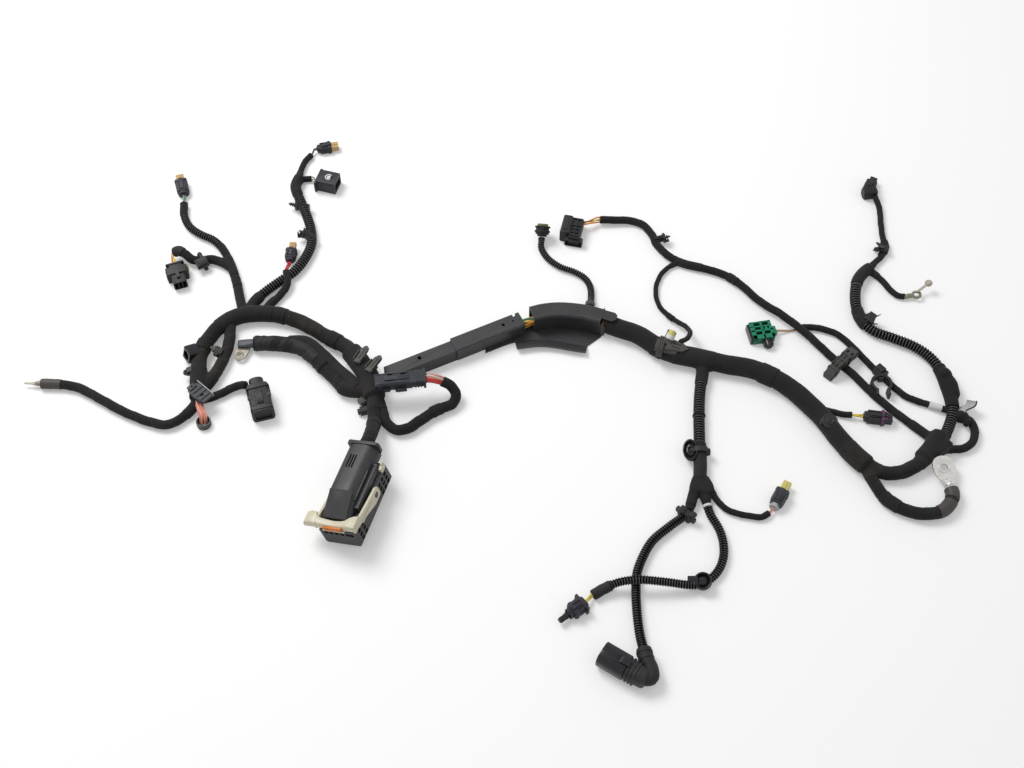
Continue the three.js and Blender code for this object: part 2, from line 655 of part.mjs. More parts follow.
// Curved tray: floor plate, flared front lip and the end wall that the trunk leaves by
function curvedTray() {
  const floor = slab([...trayFront, [125, 76], [133, 100], ...trayBack], 0, wall);
  const lip = swept([[1, 0], [-1, 0], [-trayLip, trayLipRise - wall], [-trayLip, trayLipRise],
    [-0.4, wall]], levelCurve(trayFront.slice(1)), 12);
  const endWall = moved(bar(0, 3, 25, 0, 24, 2), { x: 127.4, y: 89, yaw: -19 });
  return cut(join(floor, lip, endWall), room("channelBundle"));
}

// Right side connectors and terminals

const roundSeat = { x: 51, y: 236, yaw: 84, pitch: -38 };

function roundPlug() {
  const rings = [[0, 3, 13], [2.5, 6, 18], [5.5, 8, 21], [7.5, 12, 18], [11.5, 14, 21], [13.5, 17, 16]];
  const body = join(...rings.map(([x0, x1, dia]) => rod(dia, x0, x1, 0, 0, 16)));
  const holes = [-1, 1].map((side) => box(13, 18, side * 3 - 1.2, side * 3 + 1.2, -1.2, 1.2));
  return cut(body, ...holes);
}

const wideSeat = { x: 101, y: 264, yaw: -103 };
const wideHeight = 20;
const wideEntry = { at: new THREE.Vector3(109.2, 260, 9), heading: new THREE.Vector3(-1, -0.2, 0) };

// Wide plug: grid body on the right with its slide block on the left
function widePlug() {
  const body = join(
    bar(0, 36, 15, 0, wideHeight - 3, 1.2),
    moved(bar(-1, 31, 13, 0, wideHeight, 2), { y: -13.5 }),
    bar(31, 38, 24, 1, wideHeight - 7, 1.2),
  );
  const cells = [14, 20, 26].flatMap((x) => [-5, 0.6].map((y) =>
    box(x, x + 4, y, y + 4, wideHeight - 5, wideHeight - 2)));
  return cut(body, ...cells);
}

const greenSeat = { x: 348, y: 82, yaw: 190 };

// Green plug: flat slotted block, side plate, tab at the wire side and a front spout
function greenPlug() {
  const h = 13;
  const body = join(
    bar(5, 33, 27, 0, h, 1.4),
    bar(0, 6, 12, 2, h - 3, 1),
    bar(32.5, 36, 25, 0, h - 2, 1),
    box(9, 21, 13, 24, 2, h - 3),
  );
  const slots = [[9, -9, 8], [9, -3, 8], [20, -9, 9], [20, -3, 9], [12, 4, 14]].map(([x, y, long]) =>
    box(x, x + long, y, y + 3.2, h - 2.4, h + 1));
  return cut(body, ...slots);
}

const ovalSeat = { x: 157, y: -397, yaw: 147 };
const ovalHeight = 26;

// Large oval plug: elbow boot, ribbed rear, shell with an open mouth and its terminal block
function ovalPlug() {
  const half = ovalHeight / 2;
  const oval = (width, height, x0, x1) => prism(ovalOutline(width, height, half), x0, x1);
  const shellBody = cut(oval(28, ovalHeight, 24, 57), oval(23, ovalHeight - 5, 40, 58));
  const ribs = [12, 16, 20].map((x) => oval(27, ovalHeight - 1, x, x + 2.4));
  const latch = box(22, 34, -4, 4, ovalHeight - 2, ovalHeight + 3);
  const block = oval(14, 12, 38, 44);
  return join(oval(22, 22, 0, 14), oval(24, 23, 10, 26), ...ribs, shellBody, latch, block);
}

function ovalOutline(width, height, middle) {
  return Array.from({ length: 16 }, (_, i) => {
    const angle = (2 * Math.PI * (i + 0.5)) / 16;
    const bulge = (v) => Math.sign(v) * Math.abs(v) ** 0.7;
    return [(width / 2) * bulge(Math.cos(angle)), middle + (height / 2) * bulge(Math.sin(angle))];
  });
}

const lowerPlug = { length: 25, width: 18, height: 15, tipLength: 5, tipWidth: 11, tipHeight: 9 };
const lowerSeat = { x: 93, y: -301, yaw: 219 };
const yellowPlug = { length: 37, width: 17, height: 14, tipLength: 13, tipWidth: 10, tipHeight: 8 };
const yellowSeat = { x: 319, y: -177, yaw: 59 };
const sidePlug = { length: 34, width: 16, height: 14, tipLength: 8, tipWidth: 12, tipHeight: 9 };
const sideSeat = { x: 442, y: -50, yaw: -8 };

function lowerBody() {
  const probe = rod(7, lowerPlug.length - 1, lowerPlug.length + 13, 0, lowerPlug.height / 2, 12);
  const wings = bar(3, 6, 23, 0, lowerPlug.height, 1);
  return join(sensorPlug(lowerPlug), probe, wings);
}

// Top plug: ribbed elbow across the lead and the body that leaves it
const topSeat = { x: 512, y: 320, yaw: 188 };
const topHeight = 15;

function topPlug() {
  const elbow = join(bar(0, 20, 15, 0, topHeight, 2.4), ...[3, 7, 11, 15].map((x) =>
    bar(x, x + 1.8, 16.4, 0, topHeight + 0.8, 2.4)));
  const stem = moved(join(
    bar(0, 18, 15, 0, topHeight - 1, 1.4),
    bar(17, 27, 10, 2, topHeight - 4, 1.2),
    box(4, 14, -2.4, 2.4, topHeight - 2, topHeight + 2),
  ), { x: 13, y: -2, yaw: -126 });
  return join(elbow, stem);
}

// Battery lug: crimp barrel and flat palm with a bolt hole
function batteryLug() {
  const { at } = endOf("lugLead");
  const barrel = rod(lugLeadDia - 2, 1.6, 12, 0, 0, 14);
  const z = -2;
  const half = lugWidth / 2;
  const palm = slab([[9, -6], [14, -half + 3], [20, -half], [lugLength + 2, -half + 1],
    [lugLength + 8, -half + 7], [lugLength + 9, 0], [lugLength + 8, half - 7],
    [lugLength + 2, half - 1], [20, half], [14, half - 3], [9, 6]], z, z + lugThick);
  const hole = post(lugHole, z - 1, z + lugThick + 1, lugLength - 6, 0, 20);
  return piece("battery_lug", cut(join(barrel, palm), hole), "tin",
    { x: at.x, y: at.y, z: at.z + 1, yaw: 100, pitch: -8 });
}

// Ground terminal: crimped neck with two stacked rings
function groundRings() {
  const { at } = endOf("groundLead");
  const neck = join(rod(6.4, 1.4, 8, 0, 0, 10), box(6, 14, -3, 3, -1, 0.6));
  const low = post(groundRing, -1, 0.6, 16, 0);
  const arm = moved(box(0, 21, -2.4, 2.4, 0, 1.4), { x: 15, y: 2, z: 0.2, yaw: 22, pitch: -16 });
  const high = moved(post(groundRing - 3, 0, 1.4, 22, 0, 16), { x: 15, y: 2, z: 0.2, yaw: 22, pitch: -16 });
  const holes = [post(groundHole, -3, 3, 16, 0, 14)];
  return piece("ground_terminal", cut(join(neck, low, arm, high), ...holes), "tin",
    { x: at.x, y: at.y, z: at.z, yaw: 8, pitch: -6 });
}

// Clips

// Bridge clip over the two long runs: a wide foot, an arch over each run
function bridgeClip() {
  const top = upperRunDia + 6.5;
  const side = prismAcross([[0, 0], [14, 0], [19, 5], [21, 12], [36, 12], [40, 4], [50, 4], [54, 12],
    [52, top - 2], [40, top], [16, top + 2], [6, top - 3], [0, 9]], -6, 6);
  const ribs = [8, 24, 34].map((x) => bar(x, x + 2.4, 15, 4, top, 1));
  const body = moved(join(side, ...ribs), { x: 405, y: 10, yaw: 44 });
  return cut(body, room("upperRun"), room("secondRun"));
}

// Open C clip for a pipe, on a saddle over the second run
function pipeClip() {
  const outer = 27;
  const height = 10;
  const openRing = cut(post(outer, 0, height, 0, 0, 20), post(outer - 6, -1, height + 1, 0, 0, 20),
    box(-7, 7, -outer, -2, -1, height + 1));
  const feet = [-1, 1].map((side) => box(side * 9.6 - 1.6, side * 9.6 + 1.6, -14, -6, 0, height));
  const saddle = bar(-8, 8, 12, 0, height + 3, 1.4);
  const body = join(
    moved(openRing, { x: 470, y: -3, z: 2 }),
    ...feet.map((foot) => moved(foot, { x: 470, y: -3, z: 2 })),
    moved(saddle, { x: 472, y: 16, yaw: -52 }),
    moved(bar(-3, 3, 10, 1, 11, 1), { x: 471, y: 9 }),
  );
  return cut(body, room("upperRun"), room("secondRun"));
}

// Saddle clip on the right trunk that holds the thin loop's end and a small parked plug
function trunkClip() {
  const top = rightTrunkDia;
  const body = join(
    moved(bar(-14, 14, 17, top - 8, top + 6, 2), { x: 205, y: 44, yaw: -18 }),
    moved(bar(-4, 4, 24, top - 6, top + 8, 1.5), { x: 198, y: 45, yaw: -18 }),
    moved(bar(0, 17, 9, 0, 8, 1.4), { x: 209, y: 50, z: top + 2, yaw: 62, pitch: -30 }),
  );
  return cut(body, room("rightTrunk"), room("thinLoop"));
}

// The rest of the sleeves with what is moulded or taped on them

function upperConduit() {
  const fir = moved(join(bar(0, 10, 5, 0, 5, 1), ...[2, 5, 8].map((x) => box(x, x + 1.2, -4.5, 4.5, -2, 7))),
    { x: -279, y: 293, z: 4, yaw: 160 });
  const teeth = moved(join(bar(-7, 7, 12, 0, 8, 1), ...[-5, -1, 3].map((x) => box(x, x + 2, 5, 9, 2, 7))),
    { x: -262, y: 234, z: 5, yaw: 100 });
  return join(sleeve("upperConduit"), sleeve("upperTail"), sleeve("squareStub"), fir, teeth,
    wires("upperTail", entry(upperSeat, upperPlug.height / 2)),
    wires("squareStub", entry(squareSeat, squareHeight / 2 - 2), 2));
}

function foldSleeve() {
  const fir = moved(join(bar(0, 12, 6, 0, 6, 1), ...[3, 6, 9].map((x) => box(x, x + 1.4, -5.5, 5.5, -2, 8))),
    { x: -405, y: 195, z: 2, yaw: -40 });
  return join(sleeve("fold"), fir, wires("fold", entry(threeWaySeat, threeWayHeight / 2), 2));
}

function rightTrunkBody() {
  const button = moved(join(post(20, -4, 2.2, 0, 0), post(13, 1, 3.2, 0, 0)),
    { x: 395, y: -68, z: rightTrunkDia - 1.5, roll: 8, pitch: 8 });
  return join(cut(sleeve("rightTrunk"), room("channelBundle")), button);
}

function downBranchBody() {
  const grommet = moved(join(post(20, -6, 3, 0, 0), post(12, 2, 5, 0, 0)),
    { x: 234, y: -98, z: downBranchDia - 3.4, roll: 12 });
  const fork = slab([[224, -140], [220, -152], [222, -163], [233, -160], [246, -163], [249, -152],
    [244, -140]], 0.4, downBranchDia - 0.4);
  return join(cut(sleeve("downBranch"), room("rightTrunk")), grommet, fork);
}

function forkRoom() {
  return slab([[224 - gap, -139], [220 - gap, -152], [222 - gap, -163 - gap], [233, -160 - gap],
    [246 + gap, -163 - gap], [249 + gap, -152], [244 + gap, -139]], 0, downBranchDia);
}

function crossConduitBody() {
  const grommet = moved(join(post(21, -5, 4, 0, 0), post(14, 3, 7, 0, 0)),
    { x: 227, y: -276, z: crossConduitDia - 2.4, roll: 14, pitch: -10 });
  return join(cut(sleeve("crossConduit"), forkRoom()), grommet,
    wires("crossConduit", entry(lowerSeat, lowerPlug.height / 2), 2));
}

function lowerConduitBody() {
  const clip = moved(join(bar(-4, 4, 20, 0, 14, 2), bar(-2, 2, 27, 2, 11, 2)),
    { x: 214, y: -189, yaw: 47 });
  return join(cut(sleeve("lowerConduit"), forkRoom()), clip);
}

function upperRunBody() {
  const clip = moved(join(bar(0, 8, 8, 0, 7, 1), ...[2, 5].map((x) => box(x, x + 1.4, -7, 7, -1, 9))),
    { x: 207, y: 233, z: 2.5, yaw: 40 });
  return join(cut(sleeve("upperRun"), room("junction"), room("rightArm")), clip,
    wires("upperRun", wideEntry, 3, 0));
}

function secondRunBody() {
  const underRun = new THREE.Vector3(372, 86, 1.4);
  return join(cut(sleeve("secondRun"), room("rightConduit")),
    wires("secondRun", entry(greenSeat, 5), 2, 0, 2, [underRun]));
}

function rightConduitBody() {
  const wrap = tube(new THREE.CatmullRomCurve3([[550, -14], [549, 6], [543, 28]].map(([x, y]) =>
    new THREE.Vector3(x, y, rightConduitDia / 2 + 2.4))), rightConduitDia + 4.6);
  const rows = [-4, 0, 4].map((x) => box(x, x + 1.6, -9, 9, 3, 8));
  const bristles = moved(join(bar(-6, 6, 12, 0, 9, 1.2), ...rows), { x: 469, y: 92, z: 8, yaw: 65 });
  return join(cut(sleeve("rightConduit"), room("junction"), room("upperRun")), wrap, bristles);
}

function rightLoopBody() {
  const label = moved(box(0, 30, -0.5, 0.5, 0, 13), { x: 566, y: -53, z: 2, yaw: 42 });
  return join(cut(sleeve("rightLoop"), room("junction"), room("rightConduit")), label);
}

function ringLeadBody() {
  return cut(sleeve("ringLead"), room("hub"), room("trunk"));
}

// Assembly

piece("left_trunk", cut(leftTrunk(), room("channelBundle")), "cloth");
piece("tail_sleeve", cut(sleeve("tail"), room("trunk")), "cloth");
tailTerminal();
piece("plug_sleeve", cut(sleeve("plugSleeve"), room("trunk"), room("tail")), "cloth");
piece("elbow_plug", elbowPlug(), "plastic", elbowSeat);
piece("back_sleeve", cut(sleeve("backSleeve"), room("trunk"), room("plugSleeve")), "cloth");
piece("plate_clip", plateClip(), "plastic");
piece("sealing_cup", sealingCup(), "rubber");
piece("stem_conduit", cut(join(sleeve("stem"), wires("stem", entry(twoPinSeat, twoPin.height / 2))),
  room("trunk")), "conduit");
piece("two_pin_plug", sensorPlug(twoPin), "plastic", twoPinSeat);
piece("fold_sleeve", cut(foldSleeve(), room("stem")), "cloth");
piece("three_way_plug", threeWayPlug(), "plastic", threeWaySeat);
piece("upper_conduit", cut(upperConduit(), room("trunk"), room("stem")), "conduit");
piece("upper_plug", sensorPlug(upperPlug), "plastic", upperSeat);
piece("square_plug", squarePlug(), "plastic", squareSeat);
piece("inner_sleeve", cut(join(sleeve("innerSleeve"),
  wires("innerSleeve", entry(innerSeat, innerPlug.height / 2 + innerLift))),
  room("trunk"), room("upperConduit")), "cloth");
piece("inner_plug", sensorPlug(innerPlug), "plastic", { ...innerSeat, z: innerLift });
piece("ring_lead", ringLeadBody(), "cloth");
ringTerminal();
piece("power_plug", powerPlug(), "plastic", powerSeat);
piece("power_loop", cut(join(sleeve("powerLoop"), wires("powerLoop",
  entry(powerSeat, powerSeat.z + powerHeight / 2), 3, 0, 3)), room("hub"), room("ecuStem")), "cloth");
piece("ecu_stem", cut(sleeve("ecuStem"), room("hub")), "cloth");
piece("ecu_housing", ecuHousing(), "plastic", ecuSeat);
piece("ecu_cover", wireCover(), "plastic", ecuSeat);
piece("ecu_lever", lever(), "cream", ecuSeat);
piece("ecu_lock_slide", lockSlide(), "orange", ecuSeat);
piece("left_duct", leftDuct(), "duct", ductSeat);
piece("right_duct", rightDuct(), "duct", ductSeat);
piece("channel_bundle", cut(sleeve("channelBundle"), room("hub")), "wire");
piece("curved_cover", curvedLid(), "duct");
piece("curved_tray", curvedTray(), "duct");
piece("sensor_conduit", sleeve("sensorConduit"), "conduit");
piece("round_plug", roundPlug(), "rubber", { ...roundSeat, z: 11 });
piece("right_trunk", rightTrunkBody(), "woven");
piece("trunk_clip", trunkClip(), "plastic");
piece("thin_loop", cut(sleeve("thinLoop"), room("upperRun")), "cloth");
piece("upper_run", upperRunBody(), "cloth");
piece("wide_plug", widePlug(), "plastic", wideSeat);
piece("second_run", secondRunBody(), "cloth");
piece("green_plug", greenPlug(), "green", greenSeat);
piece("bridge_clip", bridgeClip(), "plastic");
piece("pipe_clip", pipeClip(), "plastic");
piece("down_branch", downBranchBody(), "conduit");
piece("lower_conduit", lowerConduitBody(), "conduit");
piece("oval_plug", ovalPlug(), "plastic", ovalSeat);
piece("cross_conduit", crossConduitBody(), "conduit");
piece("lower_plug", lowerBody(), "plastic", lowerSeat);
piece("short_sleeve", cut(join(sleeve("shortSleeve"),
  wires("shortSleeve", entry(yellowSeat, yellowPlug.height / 2))), forkRoom()), "cloth");
piece("yellow_tip_plug", sensorPlug(yellowPlug), "plastic", yellowSeat);
piece("side_lead", cut(join(sleeve("sideLead"), wires("sideLead",
  entry(sideSeat, sidePlug.height / 2))), room("rightTrunk")), "cloth");
piece("side_plug", sensorPlug(sidePlug), "plastic", sideSeat);
piece("right_arm", join(cut(sleeve("rightArm"), room("rightTrunk")), sleeve("junction")), "cloth");
piece("lug_lead", cut(sleeve("lugLead"), room("rightTrunk"), room("rightArm")), "cloth");
batteryLug();
piece("right_conduit", rightConduitBody(), "conduit");
piece("right_loop", rightLoopBody(), "cloth");
piece("top_lead", cut(sleeve("topLead"), room("rightConduit")), "cloth");
piece("top_plug", topPlug(), "plastic", topSeat);
piece("ground_lead", cut(sleeve("groundLead"), room("rightConduit"), room("topLead")), "cloth");
groundRings();

export default group;
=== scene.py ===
import math

import bpy
import numpy as np
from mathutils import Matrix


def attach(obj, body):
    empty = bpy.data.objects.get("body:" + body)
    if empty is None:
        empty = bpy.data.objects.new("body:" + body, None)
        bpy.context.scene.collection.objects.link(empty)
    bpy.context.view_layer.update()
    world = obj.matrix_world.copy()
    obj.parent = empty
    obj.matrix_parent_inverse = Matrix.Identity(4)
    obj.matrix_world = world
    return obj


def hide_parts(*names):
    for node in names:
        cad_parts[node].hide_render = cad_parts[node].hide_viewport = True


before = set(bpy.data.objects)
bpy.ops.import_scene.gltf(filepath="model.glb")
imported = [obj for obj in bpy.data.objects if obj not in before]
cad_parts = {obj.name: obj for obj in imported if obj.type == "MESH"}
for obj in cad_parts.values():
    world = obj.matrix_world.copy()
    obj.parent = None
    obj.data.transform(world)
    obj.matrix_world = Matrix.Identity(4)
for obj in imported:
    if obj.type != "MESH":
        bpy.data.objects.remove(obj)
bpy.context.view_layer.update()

# Studio: the harness lies on a white floor, seen from 55 degrees up. The floor keeps its shadows and
# shows white to the camera, and one soft lamp behind the left shoulder lights it with the world.
camera_target = np.array([0.015, -0.005, 0.0])
camera_distance = 1.778
camera_height = math.radians(55)
camera = bpy.data.objects.new("camera", bpy.data.cameras.new("camera"))
camera.data.lens = 50
camera.data.sensor_width = 36
camera.data.clip_start = 0.01
camera.location = camera_target + camera_distance * np.array(
    [0, -math.cos(camera_height), math.sin(camera_height)])
camera.rotation_euler = (math.pi / 2 - camera_height, 0, 0)
bpy.context.collection.objects.link(camera)
bpy.context.scene.camera = camera
bpy.context.scene.view_settings.view_transform = "Standard"


def node(tree, kind, inputs=(), **settings):
    """One shader node. Inputs are numbers or the sockets that feed them; settings are its properties."""
    made = tree.nodes.new("ShaderNode" + kind)
    for key, value in settings.items():
        setattr(made, key, value)
    for key, value in dict(inputs).items():
        if isinstance(value, bpy.types.NodeSocket):
            tree.links.new(value, made.inputs[key])
        else:
            made.inputs[key].default_value = value
    return made


def seen_directly(tree):
    """1 for rays that come from the camera, a mirror-like bounce or through glass, 0 for others."""
    path = node(tree, "LightPath")
    some = node(tree, "Math", {0: path.outputs["Is Camera Ray"], 1: path.outputs["Is Glossy Ray"]},
                operation="MAXIMUM")
    return node(tree, "Math", {0: some.outputs[0], 1: path.outputs["Is Transmission Ray"]},
                operation="MAXIMUM").outputs[0]


def white_room(world_level=0.5, floor_lift=0.24, floor_white=0.8):
    world = bpy.data.worlds.new("white_room")
    bpy.context.scene.world = world
    world.use_nodes = True
    tree = world.node_tree
    tree.nodes.clear()
    level = node(tree, "MapRange", {"Value": seen_directly(tree), "To Min": world_level, "To Max": 1.0})
    sky = node(tree, "Background", {"Color": (1, 1, 1, 1), "Strength": level.outputs[0]})
    node(tree, "OutputWorld", {"Surface": sky.outputs[0]})

    paint = bpy.data.materials.new("white_floor")
    paint.use_nodes = True
    tree = paint.node_tree
    tree.nodes.clear()
    matt = node(tree, "BsdfDiffuse", {"Color": (floor_white, floor_white, floor_white, 1)})
    level = node(tree, "MapRange", {"Value": seen_directly(tree), "To Min": 0.0, "To Max": floor_lift})
    glow = node(tree, "Emission", {"Color": (1, 1, 1, 1), "Strength": level.outputs[0]})
    both = node(tree, "AddShader", {0: matt.outputs[0], 1: glow.outputs[0]})
    node(tree, "OutputMaterial", {"Surface": both.outputs[0]})
    mesh = bpy.data.meshes.new("floor")
    mesh.from_pydata([(-6, -6, 0), (6, -6, 0), (6, 6, 0), (-6, 6, 0)], [], [(0, 1, 2, 3)])
    mesh.materials.append(paint)
    floor = bpy.data.objects.new("floor", mesh)
    bpy.context.collection.objects.link(floor)


def soft_lamp(place, size, power):
    lamp = bpy.data.objects.new("lamp", bpy.data.lights.new("lamp", "AREA"))
    lamp.data.size = size
    lamp.data.energy = power
    lamp.location = place
    away = np.array(place) / np.linalg.norm(place)
    lamp.rotation_euler = (math.acos(away[2]), 0, math.atan2(away[0], -away[1]))
    bpy.context.collection.objects.link(lamp)


white_room()
soft_lamp((-1.3, 1.1, 2.3), 1.3, 52)

# Sleeves: each branch is a bundle of wires in cloth tape, a woven sleeve or a ribbed split tube. The
# tape is wound in a helix, so its edges step round the bundle, and the bundle swells and dips. A route
# holds the sleeve's width and its points: x, y and, where it is off the floor, how high it is lifted.
mm = 0.001
floor_slack = 0.5
layout_zero = np.array([4.0, -8.0, 0.0])

routes = {
    "tail": (11.8, [(-575, -1), (-552, -2), (-528, -7), (-501, -22), (-466, -43), (-428, -59), (-409, -62),
                    (-393, -52), (-382, -38), (-377, -27)]),
    "plug_sleeve": (10.6, [(-378.5, -25.5), (-372, -24), (-360, -21), (-348, -14.5), (-337.5, -7.8),
                           (-327.7, -4.4, 2), (-318.8, -6.4, 5)]),
    "trunk": (20, [(-176, 22, 3), (-194, 47, 3), (-227, 71), (-256, 90), (-286, 103), (-314, 106),
                   (-342, 101), (-362, 85), (-375, 64), (-381, 43), (-381, 22), (-379, 2), (-376, -26)]),
    "hub": (26, [(-192, 44), (-180, 27), (-167, 4), (-160, -14), (-158, -26)]),
    "back_sleeve": (15, [(-350, 92), (-348, 63), (-353, 33), (-361, 11), (-373, -12)]),
    "stem": (11, [(-334, 104), (-343, 136), (-350, 162), (-363, 196), (-375, 219), (-390, 235),
                  (-407, 244), (-424, 258), (-434, 278), (-437, 299)]),
    "fold": (12, [(-360, 186), (-373, 195), (-388, 200), (-401, 198), (-411, 197, 3), (-421, 203, 7),
                  (-430, 208, 8), (-437, 208, 5)]),
    "upper_conduit": (13.6, [(-326, 104), (-325, 122), (-314, 140), (-295, 160), (-277, 177), (-266, 195),
                             (-257, 225), (-260, 253), (-272, 289), (-282, 313), (-287, 331), (-283, 348)]),
    "upper_tail": (8.6, [(-285, 340, 2), (-283, 360), (-279, 378), (-271, 392)]),
    "square_stub": (8.6, [(-286, 340, 2), (-277, 346), (-267, 347)]),
    "inner_sleeve": (10, [(-312, 106), (-302, 126), (-291, 140), (-283, 156, 3), (-285, 176, 6)]),
    "ring_lead": (18.6, [(-316, 59), (-298, 59), (-282, 58), (-257, 52), (-233, 32), (-212, 8),
                         (-196, -10), (-172, -14)]),
    "power_loop": (13.4, [(-75, -9, 16), (-64, -13, 11), (-58, -22, 4), (-62, -31), (-70, -36), (-81, -41),
                          (-92, -49), (-103, -58), (-116, -68), (-130, -70), (-142, -60), (-148, -43),
                          (-155, -26)]),
    "ecu_stem": (17, [(-158, -22, 3), (-158, -41, 1), (-157, -59, 2), (-157, -74, 9), (-158, -89, 18),
                      (-160, -102, 24.6), (-163, -113, 27)]),
    "sensor_conduit": (9.2, [(109.6, 108.2, 9), (112, 122, 5), (114, 138), (113, 156), (106, 170),
                             (93, 180), (74, 189), (58, 204), (50, 221, 0.6), (50.2, 228.6, 2.4),
                             (50.9, 234.4, 5)]),
    "right_trunk": (24.6, [(133, 87, 0.3), (152, 79), (171, 70), (204, 45), (242, 34), (274, 25),
                           (312, 16), (346, -4), (369, -28), (387, -52), (405, -85), (421, -110),
                           (433, -124)]),
    "right_arm": (17.4, [(430, -118, 2), (449, -131), (472, -132), (498, -119), (512, -104)]),
    "junction": (21, [(502, -114), (514, -101), (522, -90), (530, -80)]),
    "lug_lead": (15.2, [(432, -122, 3), (442, -150), (452, -168), (470, -182), (494, -188), (514, -184),
                        (526, -173), (530.5, -162), (530, -154)]),
    "upper_run": (10.4, [(130, 268, 3), (156, 269, 1), (175, 268), (189, 260), (199, 244), (204, 228),
                         (217, 209), (235, 195), (265, 185), (291, 174), (308, 159, 1), (332, 129, 2),
                         (359, 103, 4.6), (374, 87, 5), (391, 69, 3), (414, 41), (439, 12), (454, -10),
                         (478, -40), (503, -65), (522, -86, 2)]),
    "thin_loop": (6.5, [(231, 197), (217, 188), (206, 174), (199, 151), (202, 124), (217, 102, 2),
                        (232, 83, 10), (236, 66, 19), (231, 54, 23.5), (221.5, 47.5, 24)]),
    "second_run": (8.6, [(382, 88), (399, 88), (425, 78), (441, 60), (460, 31), (476, 8), (489, -9),
                         (500, -20), (521, -30), (550, -42, 1)]),
    "down_branch": (14.6, [(250, 25), (249, 14), (246, -2), (243, -20), (240, -50), (238, -82),
                           (237, -102), (236, -123), (234, -141)]),
    "lower_conduit": (11.4, [(226, -158), (216, -185), (195, -203), (173, -223), (160, -246), (153, -266),
                             (151, -288), (151, -316), (153, -343), (156, -361, 3), (158, -376.3, 8)]),
    "cross_conduit": (10.8, [(238, -158), (243, -187), (251, -205), (255, -225), (253, -246), (244, -264),
                             (228, -277), (211, -281, 4), (185, -280, 9), (153, -279, 12.6),
                             (131, -280, 8), (114, -285, 1), (102, -292)]),
    "short_sleeve": (7.8, [(245, -154, 3), (252, -166), (260, -177), (271, -184), (286, -188), (303, -190),
                           (312, -185)]),
    "side_lead": (8, [(386, -36), (402, -41), (415, -45), (428, -48, 2)]),
    "right_conduit": (14.4, [(523, -95, 3), (532, -84, 2), (542, -68), (551, -46), (553, -28), (551, -6),
                             (547, 19), (538, 38), (521, 55), (495, 69), (473, 80), (461, 95), (456, 118),
                             (458, 143), (465, 165), (475, 178), (484, 185)]),
    "top_lead": (8, [(478, 180, 1), (491, 195), (503, 208), (510, 222), (509, 238), (510, 265),
                     (512, 288), (511, 299, 1.5), (508.4, 310.2, 3)]),
    "ground_lead": (8.2, [(482, 181, 0.6), (490, 175), (500, 160), (507, 147), (514, 140.5),
                          (522, 138.5)]),
    "right_loop": (10.2, [(520, -94, 3), (542, -97), (558, -95), (569, -86), (574, -72), (572, -58),
                          (563, -51), (551, -50)]),
}


def smooth_line(points, step=1.0):
    """A smooth curve through the points, evenly sampled. Each span is a cubic whose end slopes come from
    the points on both sides, weighted by the square roots of their distances."""
    p = np.asarray(points, float)
    p = np.vstack([2 * p[0] - p[1], p, 2 * p[-1] - p[-2]])
    moves = np.diff(p, axis=0)
    spans = np.sqrt(np.linalg.norm(moves, axis=1))[:, None]
    slopes = moves[:-1] / spans[:-1] - (p[2:] - p[:-2]) / (spans[:-1] + spans[1:]) + moves[1:] / spans[1:]
    t = np.linspace(0, 1, 33)[None, :-1, None]
    span = spans[1:-1][:, None]
    start, end = p[1:-2][:, None], p[2:-1][:, None]
    leave, arrive = slopes[:-1][:, None] * span, slopes[1:][:, None] * span
    curve = (start * (2 * t**3 - 3 * t**2 + 1) + leave * (t**3 - 2 * t**2 + t)
             + end * (3 * t**2 - 2 * t**3) + arrive * (t**3 - t**2))
    curve = np.vstack([curve.reshape(-1, 3), p[-2]])
    along = np.concatenate([[0], np.cumsum(np.linalg.norm(np.diff(curve, axis=0), axis=1))])
    count = max(3, int(round(along[-1] / step)) + 1)
    even = np.linspace(0, along[-1], count)
    return np.stack([np.interp(even, along, curve[:, axis]) for axis in range(3)], axis=1)


def route_line(name, step=1.0):
    """The centreline of a sleeve in mm: it lies half its width above the floor, plus its own lift."""
    dia, points = routes[name]
    lifted = [(p[0], p[1], dia / 2 + floor_slack + (p[2] if len(p) > 2 else 0)) for p in points]
    return smooth_line(lifted, step) + layout_zero


def along_across(line):
    """Three unit arrows at each point of a line: along it, to its left, and up from both."""
    ahead = np.gradient(line, axis=0)
    ahead /= np.linalg.norm(ahead, axis=1, keepdims=True)
    left = np.cross([0.0, 0.0, 1.0], ahead)
    left /= np.maximum(np.linalg.norm(left, axis=1, keepdims=True), 1e-9)
    return ahead, left, np.cross(ahead, left)


def ripple(along, angle, seed, longest, count=5):
    """Smooth uneven swelling from -1 to 1: a sum of waves along and round the sleeve, each with its own
    length, number of lobes and phase."""
    draw = np.random.default_rng(seed)
    total = np.zeros(np.broadcast(along, angle).shape)
    for wave in range(count):
        length = longest / (1 + wave * 0.7)
        lobes = draw.integers(0, 4)
        total += np.sin(2 * np.pi * along / length + lobes * angle + draw.uniform(0, 6.3)) / (1 + wave * 0.5)
    return total / 2.4


